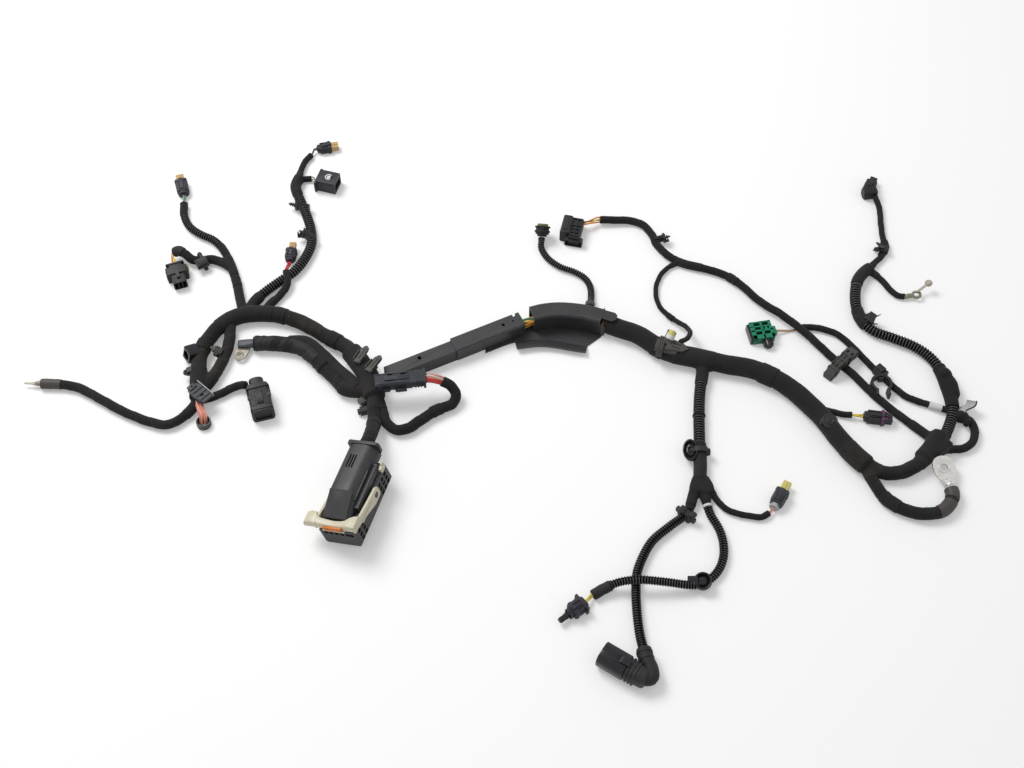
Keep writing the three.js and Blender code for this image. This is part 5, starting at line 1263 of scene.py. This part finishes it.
on_sleeve["ring_lead"].append(melted("lead_wing", [
    over("ring_lead", 18, at("ring_lead", -262, 54), 0.7),
    tube(smooth_line([(-272, 61, 9), (-251, 60, 9), (-229, 41, 9.6), (-208, 17, 11), (-190, -1, 12),
                      (-180, -14, 12)], 1.5), 9.2)], [joint_tape], turns=10))
on_sleeve["right_trunk"] += [
    melted("branch_tee", [over("right_trunk", at("right_trunk", 246, 33) - 34,
                               at("right_trunk", 246, 33) + 20, 0.7),
                          over("down_branch", 0, 30)], [joint_tape]),
    melted("lug_joint", [over("right_trunk", -34, to_end, 0.5), over("right_arm", 0, 26, 0.6),
                         over("lug_lead", 0, 20, 0.6)], [old_tape]),
]
on_sleeve["down_branch"].append(melted("fork_tape", [
    over("down_branch", -52, to_end, 1.0), over("lower_conduit", 0, 20), over("cross_conduit", 0, 15),
    over("short_sleeve", 0, 12),
    slab([[225, -139], [221, -150], [220, -160], [230, -160], [240, -162], [250, -160], [249, -150],
          [244, -139]], 1.4, 14)], [joint_tape]))
on_sleeve["right_conduit"] += [
    melted("right_joint", [
        over("right_arm", -24), over("junction", 0, to_end, 1.0), over("upper_run", -38),
        over("right_conduit", 0, 24), over("right_loop", 0, 24),
        slab([[507, -108], [517, -92], [534, -90], [541, -98], [522, -112]], 2, 21)],
        [joint_tape], turns=22),
    melted("top_joint", [over("right_conduit", -40), over("top_lead", 0, 20), over("ground_lead", 0, 16)],
           [joint_tape]),
    melted("conduit_bulge", [
        over("right_conduit", at("right_conduit", 552, -40), at("right_conduit", 545, 24), 1.3),
        moved(turned([(-16, 4), (-12, 7), (4, 8.6), (12, 7.4), (18, 4)], 0), x=556, y=-10, z=10.5, yaw=97),
        moved(turned([(-10, 5), (-2, 8.4), (4, 8), (10, 4)], 0), x=550.5, y=9, z=11.8, yaw=118)], [tape],
        turns=7),
]
on_sleeve["upper_run"].append(melted("loop_joint", [
    over("upper_run", at("upper_run", 240, 193) - 14, at("upper_run", 240, 193) + 24, 0.7),
    over("thin_loop", 0, 14, 0.7)], [joint_tape]))
on_sleeve["right_loop"].append(melted("loop_lump", [
    over("right_loop", -16, to_end, 1.2),
    moved(turned([(-9, 3), (-5, 7.4), (3, 8), (8, 5)], 0), x=561, y=-52, z=8, yaw=160),
    moved(turned([(-6, 3), (0, 5.5), (6, 3)], 0), x=566, y=-60, z=9, yaw=60)], [tape], voxel=1.0, turns=5))

on_sleeve["tail"].append(band("tail_shrink", "tail", 0, 26, 0.55, shrink, 5))
on_sleeve["ring_lead"] += [
    band("ring_lead_shrink", "ring_lead", 1, 92, 0.5, rubber, 8, 0.55),
    band("ring_lead_cuff", "ring_lead", 92, 108, 1.5, [joint_tape], 11, 0.6),
]
on_sleeve["lug_lead"] += [
    band("lug_cuff", "lug_lead", -42, -18, 0.7, shrink, 4, 0.15),
    band("lug_shrink", "lug_lead", -15, to_end, 1.0, shrink, 6, 0.15),
    band("lug_ring", "lug_lead", -18.6, -14.4, 0.35, rubber, 7, 0.05),
]
on_sleeve["sensor_conduit"] += [
    band("conduit_boot", "sensor_conduit", 6, 17, 1.9, grey_plastic, 2, 0.1),
]
on_sleeve["second_run"] += [
    band("white_band", "second_run", -27, -10, 0.45, [white_tape], 12, 0.15),
]
mark_at = at("cross_conduit", 241, -177)
on_sleeve["cross_conduit"] += [
    band("white_mark", "cross_conduit", mark_at - 2.5, mark_at + 2.5, 0.5, [white_tape], 13, 0.1),
]
for number, (sleeve, x, y, wide) in enumerate((
        ("trunk", -285, 104, 17), ("trunk", -356, 92, 22), ("trunk", -381, 54, 15), ("trunk", -214, 62, 18),
        ("ecu_stem", -157, -66, 12), ("stem", -350, 162, 18), ("lug_lead", 456, -172, 24),
        ("right_trunk", 196, 50, 14), ("right_trunk", 330, 7, 22), ("power_loop", -82, -41, 16),
        ("down_branch", 240, -50, 4), ("upper_run", 300, 167, 16), ("thin_loop", 214, 104, 12))):
    middle = at(sleeve, x, y)
    on_sleeve[sleeve].append(band(f"{sleeve}_wrap_{number}", sleeve, middle - wide / 2, middle + wide / 2,
                                  0.7, [joint_tape], 20 + number, 0.3))

# Green wires show through the slit along the two lower tubes. One thin green wire in each runs just
# under the slit, where the ribs are cut through.
for sleeve, side in (("lower_conduit", 70), ("cross_conduit", 110)):
    seen = stretch(sleeve, 24, -12, 4.0)
    _, seen_left, seen_up = along_across(seen)
    reach = routes[sleeve][0] / 2 - 2.1
    lean = math.radians(side)
    on_sleeve[sleeve].append(strands(sleeve + "_slit_wires", [
        seen + reach * (math.cos(lean) * seen_left + math.sin(lean) * seen_up)], ["green"], 1.5, 1.5, 8))

# Terminals: tinned copper pressed round the wires. The big lug is pale and has a raised ring round its
# stud hole; the barrel of the ring terminal wears a blue-grey shrink tube.


def tinned(name, bright, dull, rough):
    """Tinned copper: bright where it is rubbed, dull and rougher in patches."""
    made, tree, surface = new_material(name)
    surface.inputs["Metallic"].default_value = 1.0
    dirt = use_group(tree, dust, Size=120.0, Amount=1.0, In_Marks=0.0)
    scratches = use_group(tree, scuffs, Amount=0.6)
    matt = node(tree, "MapRange", {"Value": dirt.outputs["Mask"], "To Min": rough[0], "To Max": rough[1]})
    height = node(tree, "Math", {0: dirt.outputs["Grain"], 1: scratches.outputs[0]}, operation="SUBTRACT")
    bump = node(tree, "Bump", {"Height": height.outputs[0], "Strength": 0.3, "Distance": 0.05 * mm})
    feed(tree, surface, Base_Color=two_tone(tree, dirt.outputs["Mask"], bright, dull),
         Roughness=matt.outputs[0], Normal=bump.outputs[0])
    return [made, made]


tin = tinned("tinned_copper", (0.25, 0.23, 0.19), (0.10, 0.092, 0.075), rough=(0.55, 0.8))
pale_tin = tinned("pale_tin", (0.60, 0.585, 0.565), (0.33, 0.32, 0.31), rough=(0.3, 0.5))
blue_shrink = moulded("blue_shrink", (0.062, 0.068, 0.085), (0.17, 0.175, 0.19), rough=0.42, amount=0.3,
                      scratched=0.6)


def end_of(sleeve, yaw, pitch, lift=0.0):
    x, y, z = lines[sleeve][-1] - layout_zero
    return dict(x=x, y=y, z=z + lift, yaw=yaw, pitch=pitch)


def disc(radius, low, high, x):
    """A flat round disc with its edges taken off."""
    return turned([(low, radius - 0.3), (low + 0.3, radius), (high - 0.3, radius), (high, radius - 0.3)], 2,
                  (x, 0))


lug_seat = end_of("lug_lead", 100, -8, 1)
half_palm = [[16, -10.5], [20, -13], [30, -13.4], [36, -12], [40, -8.4], [42, -4], [42.5, 0]]
palm = half_palm + [[x, -y] for x, y in half_palm[-2::-1]]
lug = [
    joined([ring_at(-4, 13.6, -6.6, 6.6, 6.5), ring_at(6, 13.8, -6.6, 6.6, 6.5),
            ring_at(8.6, 15, -5.6, 5.2, 5), ring_at(12, 19, -3, 2.4, 2.4), ring_at(16, 23, -2, 1, 1.2)]),
    turned([(2.4, 6.6), (3, 7.5), (4.6, 7.5), (5.2, 6.6)]),
    slab([[6, -7], [11, -8.2], *palm, [11, 8.2], [6, 7]], -2, 1),
    turned([(0.6, 7.9), (1.5, 7.5), (1.7, 6.4), (0.9, 5.6)], 2, (27.5, 0)),
    across([[4, 5.6], [10, 5.2], [13, 3.4], [13, 2], [4, 4]], -3, 3),
]
lug_holes = [turned([(-5, 4.5), (5, 4.5)], 2, (27.5, 0)), box(3, 7, -2, 2, 5.4, 9)]
on_sleeve["lug_lead"].append(solid("battery_lug_tin", lug, pale_tin, lug_seat, ["battery_lug"],
                                   bevel=0.35, cuts=lug_holes))
ring_seat = end_of("ring_lead", 181, 3)
on_sleeve["ring_lead"] += [
    solid("ring_barrel", [
        joined([ring_at(-6, 10.4, -5, 5, 5), ring_at(1, 11.6, -5.2, 5.2, 5), ring_at(9, 12.4, -4.6, 4, 4),
                ring_at(19, 12, -4, 2.6, 3), ring_at(20.4, 10, -3.2, 1.6, 2)]),
        bar(12, 18, 7, 1.4, 3.6, 1),
    ], blue_shrink, ring_seat, bevel=0.4),
    solid("ring_eye", [
        slab([[5, 2], [21, 2], [24, 6.6], [25.2, 13], [23.6, 19], [19.4, 22.8], [14.4, 23], [10.2, 19.6],
              [7.4, 13], [5.4, 7.6]], -4.4, -2.2),
        turned([(-2.4, 5.8), (-1.5, 5.4), (-1.4, 4.4), (-2.2, 3.9)], 2, (17.4, 15.4)),
        box(8, 21, 6.2, 7.2, -2.6, -1.4),
    ], tin, ring_seat, ["ring_terminal"], bevel=0.25,
        cuts=[turned([(-9, 3.1), (4, 3.1)], 2, (17.4, 15.4))]),
]
ground_seat = end_of("ground_lead", 8, -6)
tab_place = dict(x=15, y=2, z=0.2, yaw=22, pitch=-16)
on_sleeve["ground_lead"].append(solid("ground_eyes", [
    turned([(-4, 3), (7, 3.2), (8.4, 2.6)]), slab([[5, -3], [11, -3.2], [11, 3.2], [5, 3]], -1, 0.6),
    slab([[16 + 6.5 * math.cos(a), 6.5 * math.sin(a)] for a in np.linspace(0, 2 * np.pi, 25)[:-1]], -1, 0.6),
    turned([(0.4, 5.6), (1.2, 5.1), (1.2, 4.0), (0.5, 3.5)], 2, (16, 0)),
    moved(across([[0, 0], [17, 0], [17, 1.4], [0, 1.4]], -1.5, 1.5), **tab_place),
    moved(disc(5, 0, 1.4, 21.5), **tab_place), moved(disc(3, 1.2, 2.6, 21.5), **tab_place),
], tin, ground_seat, ["ground_terminal"], bevel=0.25,
    cuts=[turned([(-4, 3.2), (4, 3.2)], 2, (16, 0))]))
on_sleeve["tail"] += [
    solid("tail_blade", [
        turned([(-5, 3), (5, 3), (7.6, 2.2)]),
        slab([[5, -2.8], [9.4, -2.6], [12, -1.5], [21, -1.1], [21.6, 0], [21, 1.1], [12, 1.5], [9.4, 2.6],
              [5, 2.8]], -0.6, 0.6),
    ], tin, end_of("tail", 178, 0), ["tail_terminal"], bevel=0.2),
    solid("tail_bit", [slab([[0.6, -5], [4.4, -5.6], [5, -2], [1, -1]], -3, 1.6)], white_plastic,
          end_of("tail", 178, 0), bevel=0.4),
]

# Clips on the left: a grey plate clip and a seal cup with salmon wires at the knot, a square cap with a
# round well on the trunk, dusty brackets on the hub, and fir-tree clips on the upper tubes.
dusty_plastic = moulded("dusty_plastic", (0.050, 0.048, 0.045), (0.17, 0.165, 0.155), rough=0.5, amount=0.8,
                        dusty=(0.16, 0.14, 0.11), scratched=0.5)
cup_grey = moulded("cup_plastic", (0.055, 0.058, 0.05), (0.2, 0.2, 0.19), rough=0.35, amount=0.4)
plate_seat = dict(x=-372, y=-25, z=19.6, yaw=-42)
on_sleeve["trunk"] += [
    solid("plate_clip_body", [
        slab([[-15, -5], [-12, -8.5], [12, -8.5], [15, -6], [15, 8.5], [-9, 8.5], [-13, 6], [-15, 2]],
             0, 3.6),
        bar(-9, 3, 9, -6, 2, 1.4), bar(-15.6, -9, 11, 1.4, 5.2, 1.6, y=-1.6),
        *[box(x, x + 1.8, -8, 7.6, 3, 4.9) for x in (-5, 2, 9)], box(-6, 12, -8.6, -7.2, -3, 4.4),
    ], grey_plastic, plate_seat, ["plate_clip"], bevel=0.5,
        cuts=[box(4.4, 8.4, -3, 1, 2, 6), turned([(0, 1.3), (8, 1.3)], 2, (-12, -1.6))]),
    solid("plate_clip_edge", [box(-14, 15, 8.4, 9.4, -1, 6)], pale_grey, plate_seat, bevel=0.25),
    solid("seal_cup", [turned([(0, 8), (0.8, 9), (8.2, 9), (9, 8.6), (9, 7.4), (3, 7.2)], 2, (-366, -58)),
                       turned([(2, 3.2), (4.6, 3), (5, 2.6)], 2, (-365, -60))], cup_grey, None,
          ["sealing_cup"], bevel=0.3),
    strands("cup_wires", [
        [(x0 + 4, y0 - 8, z0), (x0 * 0.5 + x1 * 0.5 + 4, -50, 12.5 + lift), (x1 + 4, -61, 11 + lift),
         (x1 + 4, y1, 4)]
        for x0, y0, z0, x1, y1, lift in (
            (-379, -30, 10, -370, -66, 0), (-377, -32, 13, -368, -68, 1), (-375, -32, 11, -366, -65, 0.4),
            (-373, -32, 13.5, -364, -68, 0.8), (-371, -30, 10.5, -362.5, -66, 0))],
        ["salmon", "pink", "salmon", "salmon", "pink"], 2.4),
    solid("square_cap", [
        bar(0, 14, 18.6, 0.2, 18.8, 3.4), bar(12, 15.4, 17, 1, 18, 3), bar(-6, 2, 12, 4, 15, 2),
        turned([(9, 2.6), (13.6, 2.4), (14.2, 1.6)], 0, (0, 9.5)),
        turned([(9, 4.4), (11.6, 4.4), (11.6, 3.8)], 0, (0, 9.5)),
        box(3, 11, -10, 10, 8, 11),
    ], gloss_black, dict(x=-388, y=42, z=3, yaw=215, pitch=-18), bevel=0.6,
        cuts=[turned([(10.4, 6), (20, 6)], 0, (0, 9.5)), box(13.6, 20, -9, -7.2, 3, 16)]),
    solid("wedge_clip", [
        slab([[-5, -6], [4, -5], [9, -2], [9.6, 1], [4, 5], [-5, 7]], -3, 1), bar(-6, 4, 8, -4, 4.4, 1),
        box(0, 7.6, -2.4, -1.4, 0.4, 2.6), box(0, 7.6, 1.2, 2.2, 0.4, 2.6),
    ], black, dict(x=-390, y=14, z=13, yaw=198, pitch=8), bevel=0.4),
]
on_sleeve["back_sleeve"].append(solid("dusty_clip", [
    bar(-6, 6, 9, 0, 5, 1.4), bar(-3, 3, 13, -4, 3, 1.2),
    slab([[5, -3], [11, -1.4], [11, 1.4], [5, 3]], 1, 3),
    *[box(x, x + 1, -4.2, 4.2, 4.6, 6.2) for x in (-4, -1, 2)]], dusty_plastic,
    dict(x=-359, y=43, z=14, yaw=152, pitch=-6), bevel=0.4))
for number, place in enumerate((dict(x=-176, y=27, z=27.4, yaw=63, pitch=-3, roll=-6),
                                dict(x=-160, y=13, z=27.6, yaw=56, pitch=-3, roll=-4))):
    solid(f"hub_clip_{number}", [
        slab([[-11, -5.2], [10, -4.6], [14.6, -1.4], [14, 2], [8, 5], [-11, 5.6]], 0, 2.6),
        across([[-9, 1], [8, 1], [12, 3.4], [6, 7], [-9, 5.4]], -5.4, -4.2), box(-11, 4, 4.6, 5.8, -1, 5),
        bar(-13, -8, 9, -8, 3.6, 1.4), bar(-3, 2, 8, -7, 1, 1.4), box(-6, 10, -0.4, 0.6, 2, 3.4)],
        dusty_plastic, place, bevel=0.4)
solid("hub_clip_low", [
    bar(-5, 8, 12, 0, 9, 2.4), bar(3, 9, 8, 3, 11, 1.6),
    *[box(-3, 6, y, y + 1.2, 8.2, 10.4) for y in (-4.6, 3.4)],
], dusty_plastic, dict(x=-170, y=-26, z=2, yaw=222), bevel=0.5)
solid("hub_block", [bar(-5, 7, 10, 0, 10, 2.6), bar(4, 10, 7, 2, 8, 2)], black,
      dict(x=-169, y=-40, yaw=196), bevel=0.5)
solid("hub_clip_side", [
    bar(0, 11, 6, 0, 7, 1.2), bar(9, 14, 4, 1, 5.6, 1), box(2, 10, -3.8, 3.8, 2.4, 3.8),
    box(2, 10, -3.8, 3.8, 5.2, 6.4),
], black, dict(x=-151, y=-26, z=6, yaw=-68), bevel=0.4)


def fir_tree(name, seat, sleeve_dia, reach, look=black):
    """A clamp round a tube, with a barbed pin that leaves it sideways, X pointing along the pin."""
    half = sleeve_dia / 2
    shapes = [
        bar(-half - 1.6, half + 1.8, sleeve_dia * 0.55, -half - 1.2, half + 1.6, half * 0.7),
        bar(half, half + 3, 11, -5.5, 5.5, 2.4),
        turned([(half + 2, 4.6), (half + 3.2, 5.6), (half + 3.8, 5.2)]),
        turned([(half + 2, 1.5), (half + reach, 1.3), (half + reach + 1.4, 0.5)]),
    ]
    for step in np.arange(4.8, reach - 1.5, 2.7):
        shapes.append(turned([(half + step, 1.2), (half + step + 0.5, 3.9 - step * 0.09),
                              (half + step + 1.1, 3.7 - step * 0.09), (half + step + 2.4, 1.2)], sides=12))
    shapes.append(box(half - 1, half + 7, -6.6, -5.4, -2.2, 2.2))
    return solid(name, shapes, look, seat, bevel=0.3)


on_sleeve["upper_conduit"] += [
    fir_tree("upper_fir_tree", dict(x=-273, y=291, z=8, yaw=166, pitch=-6), 13.6, 13, gloss_black),
    fir_tree("comb_clip", dict(x=-260, y=237, z=9, yaw=150, pitch=-14), 13.6, 9),
    solid("comb_teeth", [
        bar(0, 13, 5, 0, 5, 1), *[box(x, x + 1.6, -1.6, 1.6, 4, 9.6) for x in (0.4, 3.6, 6.8, 10)],
    ], black, dict(x=-276, y=238, z=8, yaw=6), bevel=0.3),
]
on_sleeve["fold"] += [
    fir_tree("fold_fir_tree", dict(x=-400, y=199, z=7, yaw=-62, pitch=4), 12, 12),
    solid("fold_clip_plate", [
        bar(-8, 8, 15, 0, 3.4, 1.4), bar(-5, 6, 9, 2.6, 7, 1.4), box(-8, -4, -5, 5, 2, 6),
    ], black, dict(x=-398, y=190, z=10, yaw=30, roll=16), bevel=0.4),
    band("fold_cuff", "fold", -15, to_end, 0.8, rubber, 31, 0.15),
]

# Clips on the right: a clip with a parked white and yellow plug on the trunk, buttons and grommets that
# push into panels, a bridge clip over two runs, an open pipe clip, and two bristly bundle clips.
on_sleeve["right_trunk"] += [
    solid("trunk_clip_body", [
        moved(bar(-14, 14, 17, 16.6, 27, 4), x=205, y=44, yaw=-18),
        moved(bar(-4, 4, 24, 14, 30, 4), x=198, y=45, yaw=-18),
        *[moved(bar(x, x + 1.4, 25.4, 13, 31, 4.4), x=198, y=45, yaw=-18) for x in (-3.4, -0.8, 1.8)],
        moved(slab([[-6, -9], [16, -4], [22, 3], [14, 8], [-4, 9]], 0, 2.4), x=210, y=43, z=26.6, yaw=-22,
              pitch=4),
        moved(bar(-3, 15, 11.4, -2, 6, 2), x=206, y=49, z=25, yaw=62, pitch=-24),
    ], dusty_plastic, None, ["trunk_clip"], bevel=0.6,
        cuts=[moved(box(2, 12, y, y + 2.4, 1.4, 6), x=210, y=43, z=26.6, yaw=-22, pitch=4)
              for y in (-3.4, 1.6)]),
    solid("parked_plug_white", [
        moved(turned([(1, 3.6), (2, 5), (6.4, 5.2), (7, 4.4)], 0, (0, 4.4)), x=208, y=50, z=27, yaw=62,
              pitch=-30),
        moved(box(2, 9, -5.6, 5.6, 3, 5), x=208, y=50, z=27, yaw=62, pitch=-30)], white_plastic,
        bevel=0.4),
    solid("parked_plug_yellow", [
        moved(turned([(6, 4), (7, 4.8), (12.6, 4.6), (13.6, 3.6), (12.4, 2.6)], 0, (0, 4.4)), x=208, y=50,
              z=27, yaw=62, pitch=-30)], yellow_plastic, bevel=0.3),
    solid("trunk_button", [
        turned([(-4, 6), (-0.6, 8.6), (0, 10), (1.4, 10), (2, 9.2), (1.2, 7.4), (1.4, 5.4), (2.6, 4.8),
                (3, 3.4), (2.2, 2.6)], 2, (0, 0)),
        bar(-11, -6, 7, -6, 0.6, 1.6)], black, dict(x=395, y=-68, z=23.1, roll=8, pitch=8),
        bevel=0.3),
]
grommet_wall = [(-3, 8), (0, 10.2), (3.4, 10.6), (4.6, 10), (4.8, 8.8), (2.4, 7.6), (1.4, 6.6), (3.2, 5.2),
                (3.4, 3.6), (2.0, 3.0)]
oval_points, oval_faces = turned(grommet_wall, 2, (0, 0), 36)
on_sleeve["down_branch"] += [
    solid("oval_grommet", [(oval_points * [0.86, 1.34, 1.2], oval_faces), bar(2, 13, 8, -4, 3, 2),
                           *[box(-5, 5, y, y + 1, 1.6, 4.2) for y in (-4, 3)]], gloss_black,
          dict(x=225.5, y=-103, z=11, roll=10, pitch=-12), bevel=0.2),
    solid("branch_clip", [moved(bar(-4, 3, 19, 1, 19, 6), yaw=-90),
                          moved(bar(-2, 1.6, 24, 5, 16, 2), yaw=-90),
                          bar(8.4, 12, 6, 6, 13, 1)], black, dict(x=237, y=-104, z=0), bevel=0.5),
]
on_sleeve["cross_conduit"] += [
    solid("round_grommet", [
        turned([(-8, 7), (-5, 9.6), (0, 10.6), (3.6, 10.4), (5, 9.4), (4.8, 8.4), (1.8, 7.4), (0.4, 6),
                (2.2, 5.4), (3.4, 4.2), (3.6, 1.6)], 2, (0, 0), 36),
        moved(bar(5, 17, 13, -7, 6, 5), yaw=176)], gloss_black,
        dict(x=227, y=-277, z=10.4, roll=14, pitch=-10), bevel=0.2),
    band("cross_cuff", "cross_conduit", -24, to_end, 0.9, rubber, 33, 0.2),
]
on_sleeve["lower_conduit"] += [
    solid("tube_clip", [
        bar(-4, 4, 19, 0, 15.6, 5), bar(-1.8, 2.4, 28, 3, 12, 2.4),
        bar(-5.4, 3.4, 8, 12, 18, 2, y=5), bar(-2, 6, 7, 9, 16.6, 2, y=-8),
    ], black, dict(x=214, y=-189, yaw=47), bevel=0.5),
]
bridge = [[0, 1], [2, 0], [12, 0], [17, 4], [20, 12], [36, 12], [40, 4], [50, 4], [54, 10], [53, 14],
          [47, 17], [34, 18.6], [18, 18.9], [8, 15], [0, 9]]
bridge_seat = dict(x=405, y=10, yaw=44)
on_sleeve["upper_run"] += [
    solid("bridge_clip_body", [
        across(bridge, -6, 6), *[bar(x, x + 2.4, 15, 4, z, 2) for x, z in ((8, 15.9), (24, 19.6), (34, 19))],
        *[box(12, 36, y, y + 1.2, 17, 20) for y in (-5.6, -0.6, 4.4)], bar(36, 46, 16, 9, 17.6, 2.4),
        bar(1, 9, 14, 3, 10, 2.4), box(40, 50, -8.6, 8.6, 11, 13)], dusty_plastic, bridge_seat,
        ["bridge_clip"], bevel=0.6,
        cuts=[box(38.5, 43.5, y, y + 3, 15, 19) for y in (-5.4, 1.4)]),
    fir_tree("run_fir_tree", dict(x=208, y=234, z=8, yaw=12, pitch=-10), 10.4, 9),
]
opened = np.linspace(math.radians(-56), math.radians(236), 33)
on_sleeve["second_run"] += [solid("pipe_clip_body", [
    slab([*[(470 + 13.5 * math.cos(a), -3 + 13.5 * math.sin(a)) for a in opened],
          *[(470 + 10.2 * math.cos(a), -3 + 10.2 * math.sin(a)) for a in opened[::-1]]], 2, 12),
    *[moved(bar(0, 9, 3.4, 1, 13, 1), x=x, y=-12, yaw=yaw) for x, yaw in ((463.4, -96), (476.6, -84))],
    moved(bar(-8, 8, 12, 0, 13, 3), x=472, y=16, yaw=-52),
    moved(bar(-5, 6, 9, 11, 16, 2), x=471, y=18, yaw=-52),
    moved(bar(-3, 3, 10, 1, 11, 1.4), x=471, y=9), moved(box(-7, 7, 9, 11, 3, 11), x=470, y=-3)],
    black, None, ["pipe_clip"], bevel=0.5)]
bundle_seat = dict(x=466, y=95, z=8, yaw=65)
on_sleeve["right_conduit"] += [
    solid("bundle_clip", [
        *[moved(bar(-7, 9, 14 - abs(step), 0, 2.2, 0.9), z=3.6 * step - 6, roll=8 * step - 10, y=-step)
          for step in (0, 1, 2, 3, 4)], bar(-4, 5, 9, -5, 10, 2),
        moved(slab([[0, -1.4], [12, 0], [0, 1.4]], 0, 1.6), x=3, y=-6, z=7, yaw=-42, pitch=-8),
        moved(slab([[0, -1.2], [9, 0], [0, 1.2]], 0, 1.6), x=-3, y=-6, z=2, yaw=-70),
    ], black, bundle_seat, bevel=0.3),
    band("upper_right_wrap", "right_conduit", at("right_conduit", 460, 100) - 12,
         at("right_conduit", 460, 100) + 16, 0.9, [joint_tape], 41, 0.3),
]
on_sleeve["top_lead"] += [
    solid("leaf_clip", [
        bar(-4, 5, 9, -4, 5, 2),
        *[moved(slab([[0, -1], [5, -2.8], [12, -1.6], [14, 0.6], [9, 2.6], [2, 1.6]], 0, 1.3),
                z=lift, yaw=turn_by, pitch=tilt)
          for turn_by, tilt, lift in ((150, -20, 3), (178, -8, 1), (204, -14, 2), (228, 4, 0),
                                      (165, 10, -2), (196, -34, 4))],
    ], black, dict(x=506, y=216, z=7), bevel=0.25),
    band("top_cuff", "top_lead", at("top_lead", 509, 222) - 10, at("top_lead", 509, 222) + 12, 0.9,
         [joint_tape], 42, 0.3),
]

# White flag label: a strip of film folded round the right loop, bare, its far corner curled over.
# The film is pale grey on both sides, darker than white film as painted shade against the white floor,
# and a dull dark strip on its curled edge is painted shade of the fold.
# Pale grey film: the grey, darker than white film, is painted shade.
label_film_painted_shade = moulded("label_film_painted_shade", (0.46, 0.45, 0.455), (0.6, 0.6, 0.6), rough=0.5, amount=0.3)
along_label = np.linspace(0, 1, 13)
curl = np.maximum(0, along_label - 0.6) / 0.4
label_x = 29 * along_label - 3.5 * curl**2
label_y = 1.6 * np.sin(along_label * 5) + 5.5 * curl**2
label_rings, fold_shade_rings = [], []
for x, y, share, roll_over in zip(label_x, label_y, along_label, curl):
    high = 13.5 + 3.5 * share
    label_rings.append(np.array([[x, y - 0.25, 0.4], [x, y + 0.25, 0.4], [x, y + 0.25 + roll_over, high],
                                 [x, y - 0.25 + roll_over, high]]))
    fold_shade_rings.append(np.array([[x, y - 0.7 + roll_over, high - 0.5], [x, y + 0.7 + roll_over, high - 0.5],
                                [x, y + 0.6 + roll_over * 1.5, high + 0.7],
                                [x, y - 0.5 + roll_over, high + 0.9]]))
label_seat = dict(x=553, y=-44, z=5, yaw=38, roll=52)
on_sleeve["right_loop"] += [
    solid("flag_label", [joined(label_rings), bar(-5, 2, 7, 1, 9, 2.4)], label_film_painted_shade, label_seat,
          bevel=0),
    # A dull dark strip along the curled top edge: painted shade of the fold.
    solid("label_edge", [joined(fold_shade_rings[3:])], rubber, label_seat, bevel=0),
]

# Cords: every sleeve that is free of the channel and the control unit connector, with its line in metres.
for name, facts in sleeves.items():
    if "far_end" not in facts:
        continue
    line = lines[name] * mm
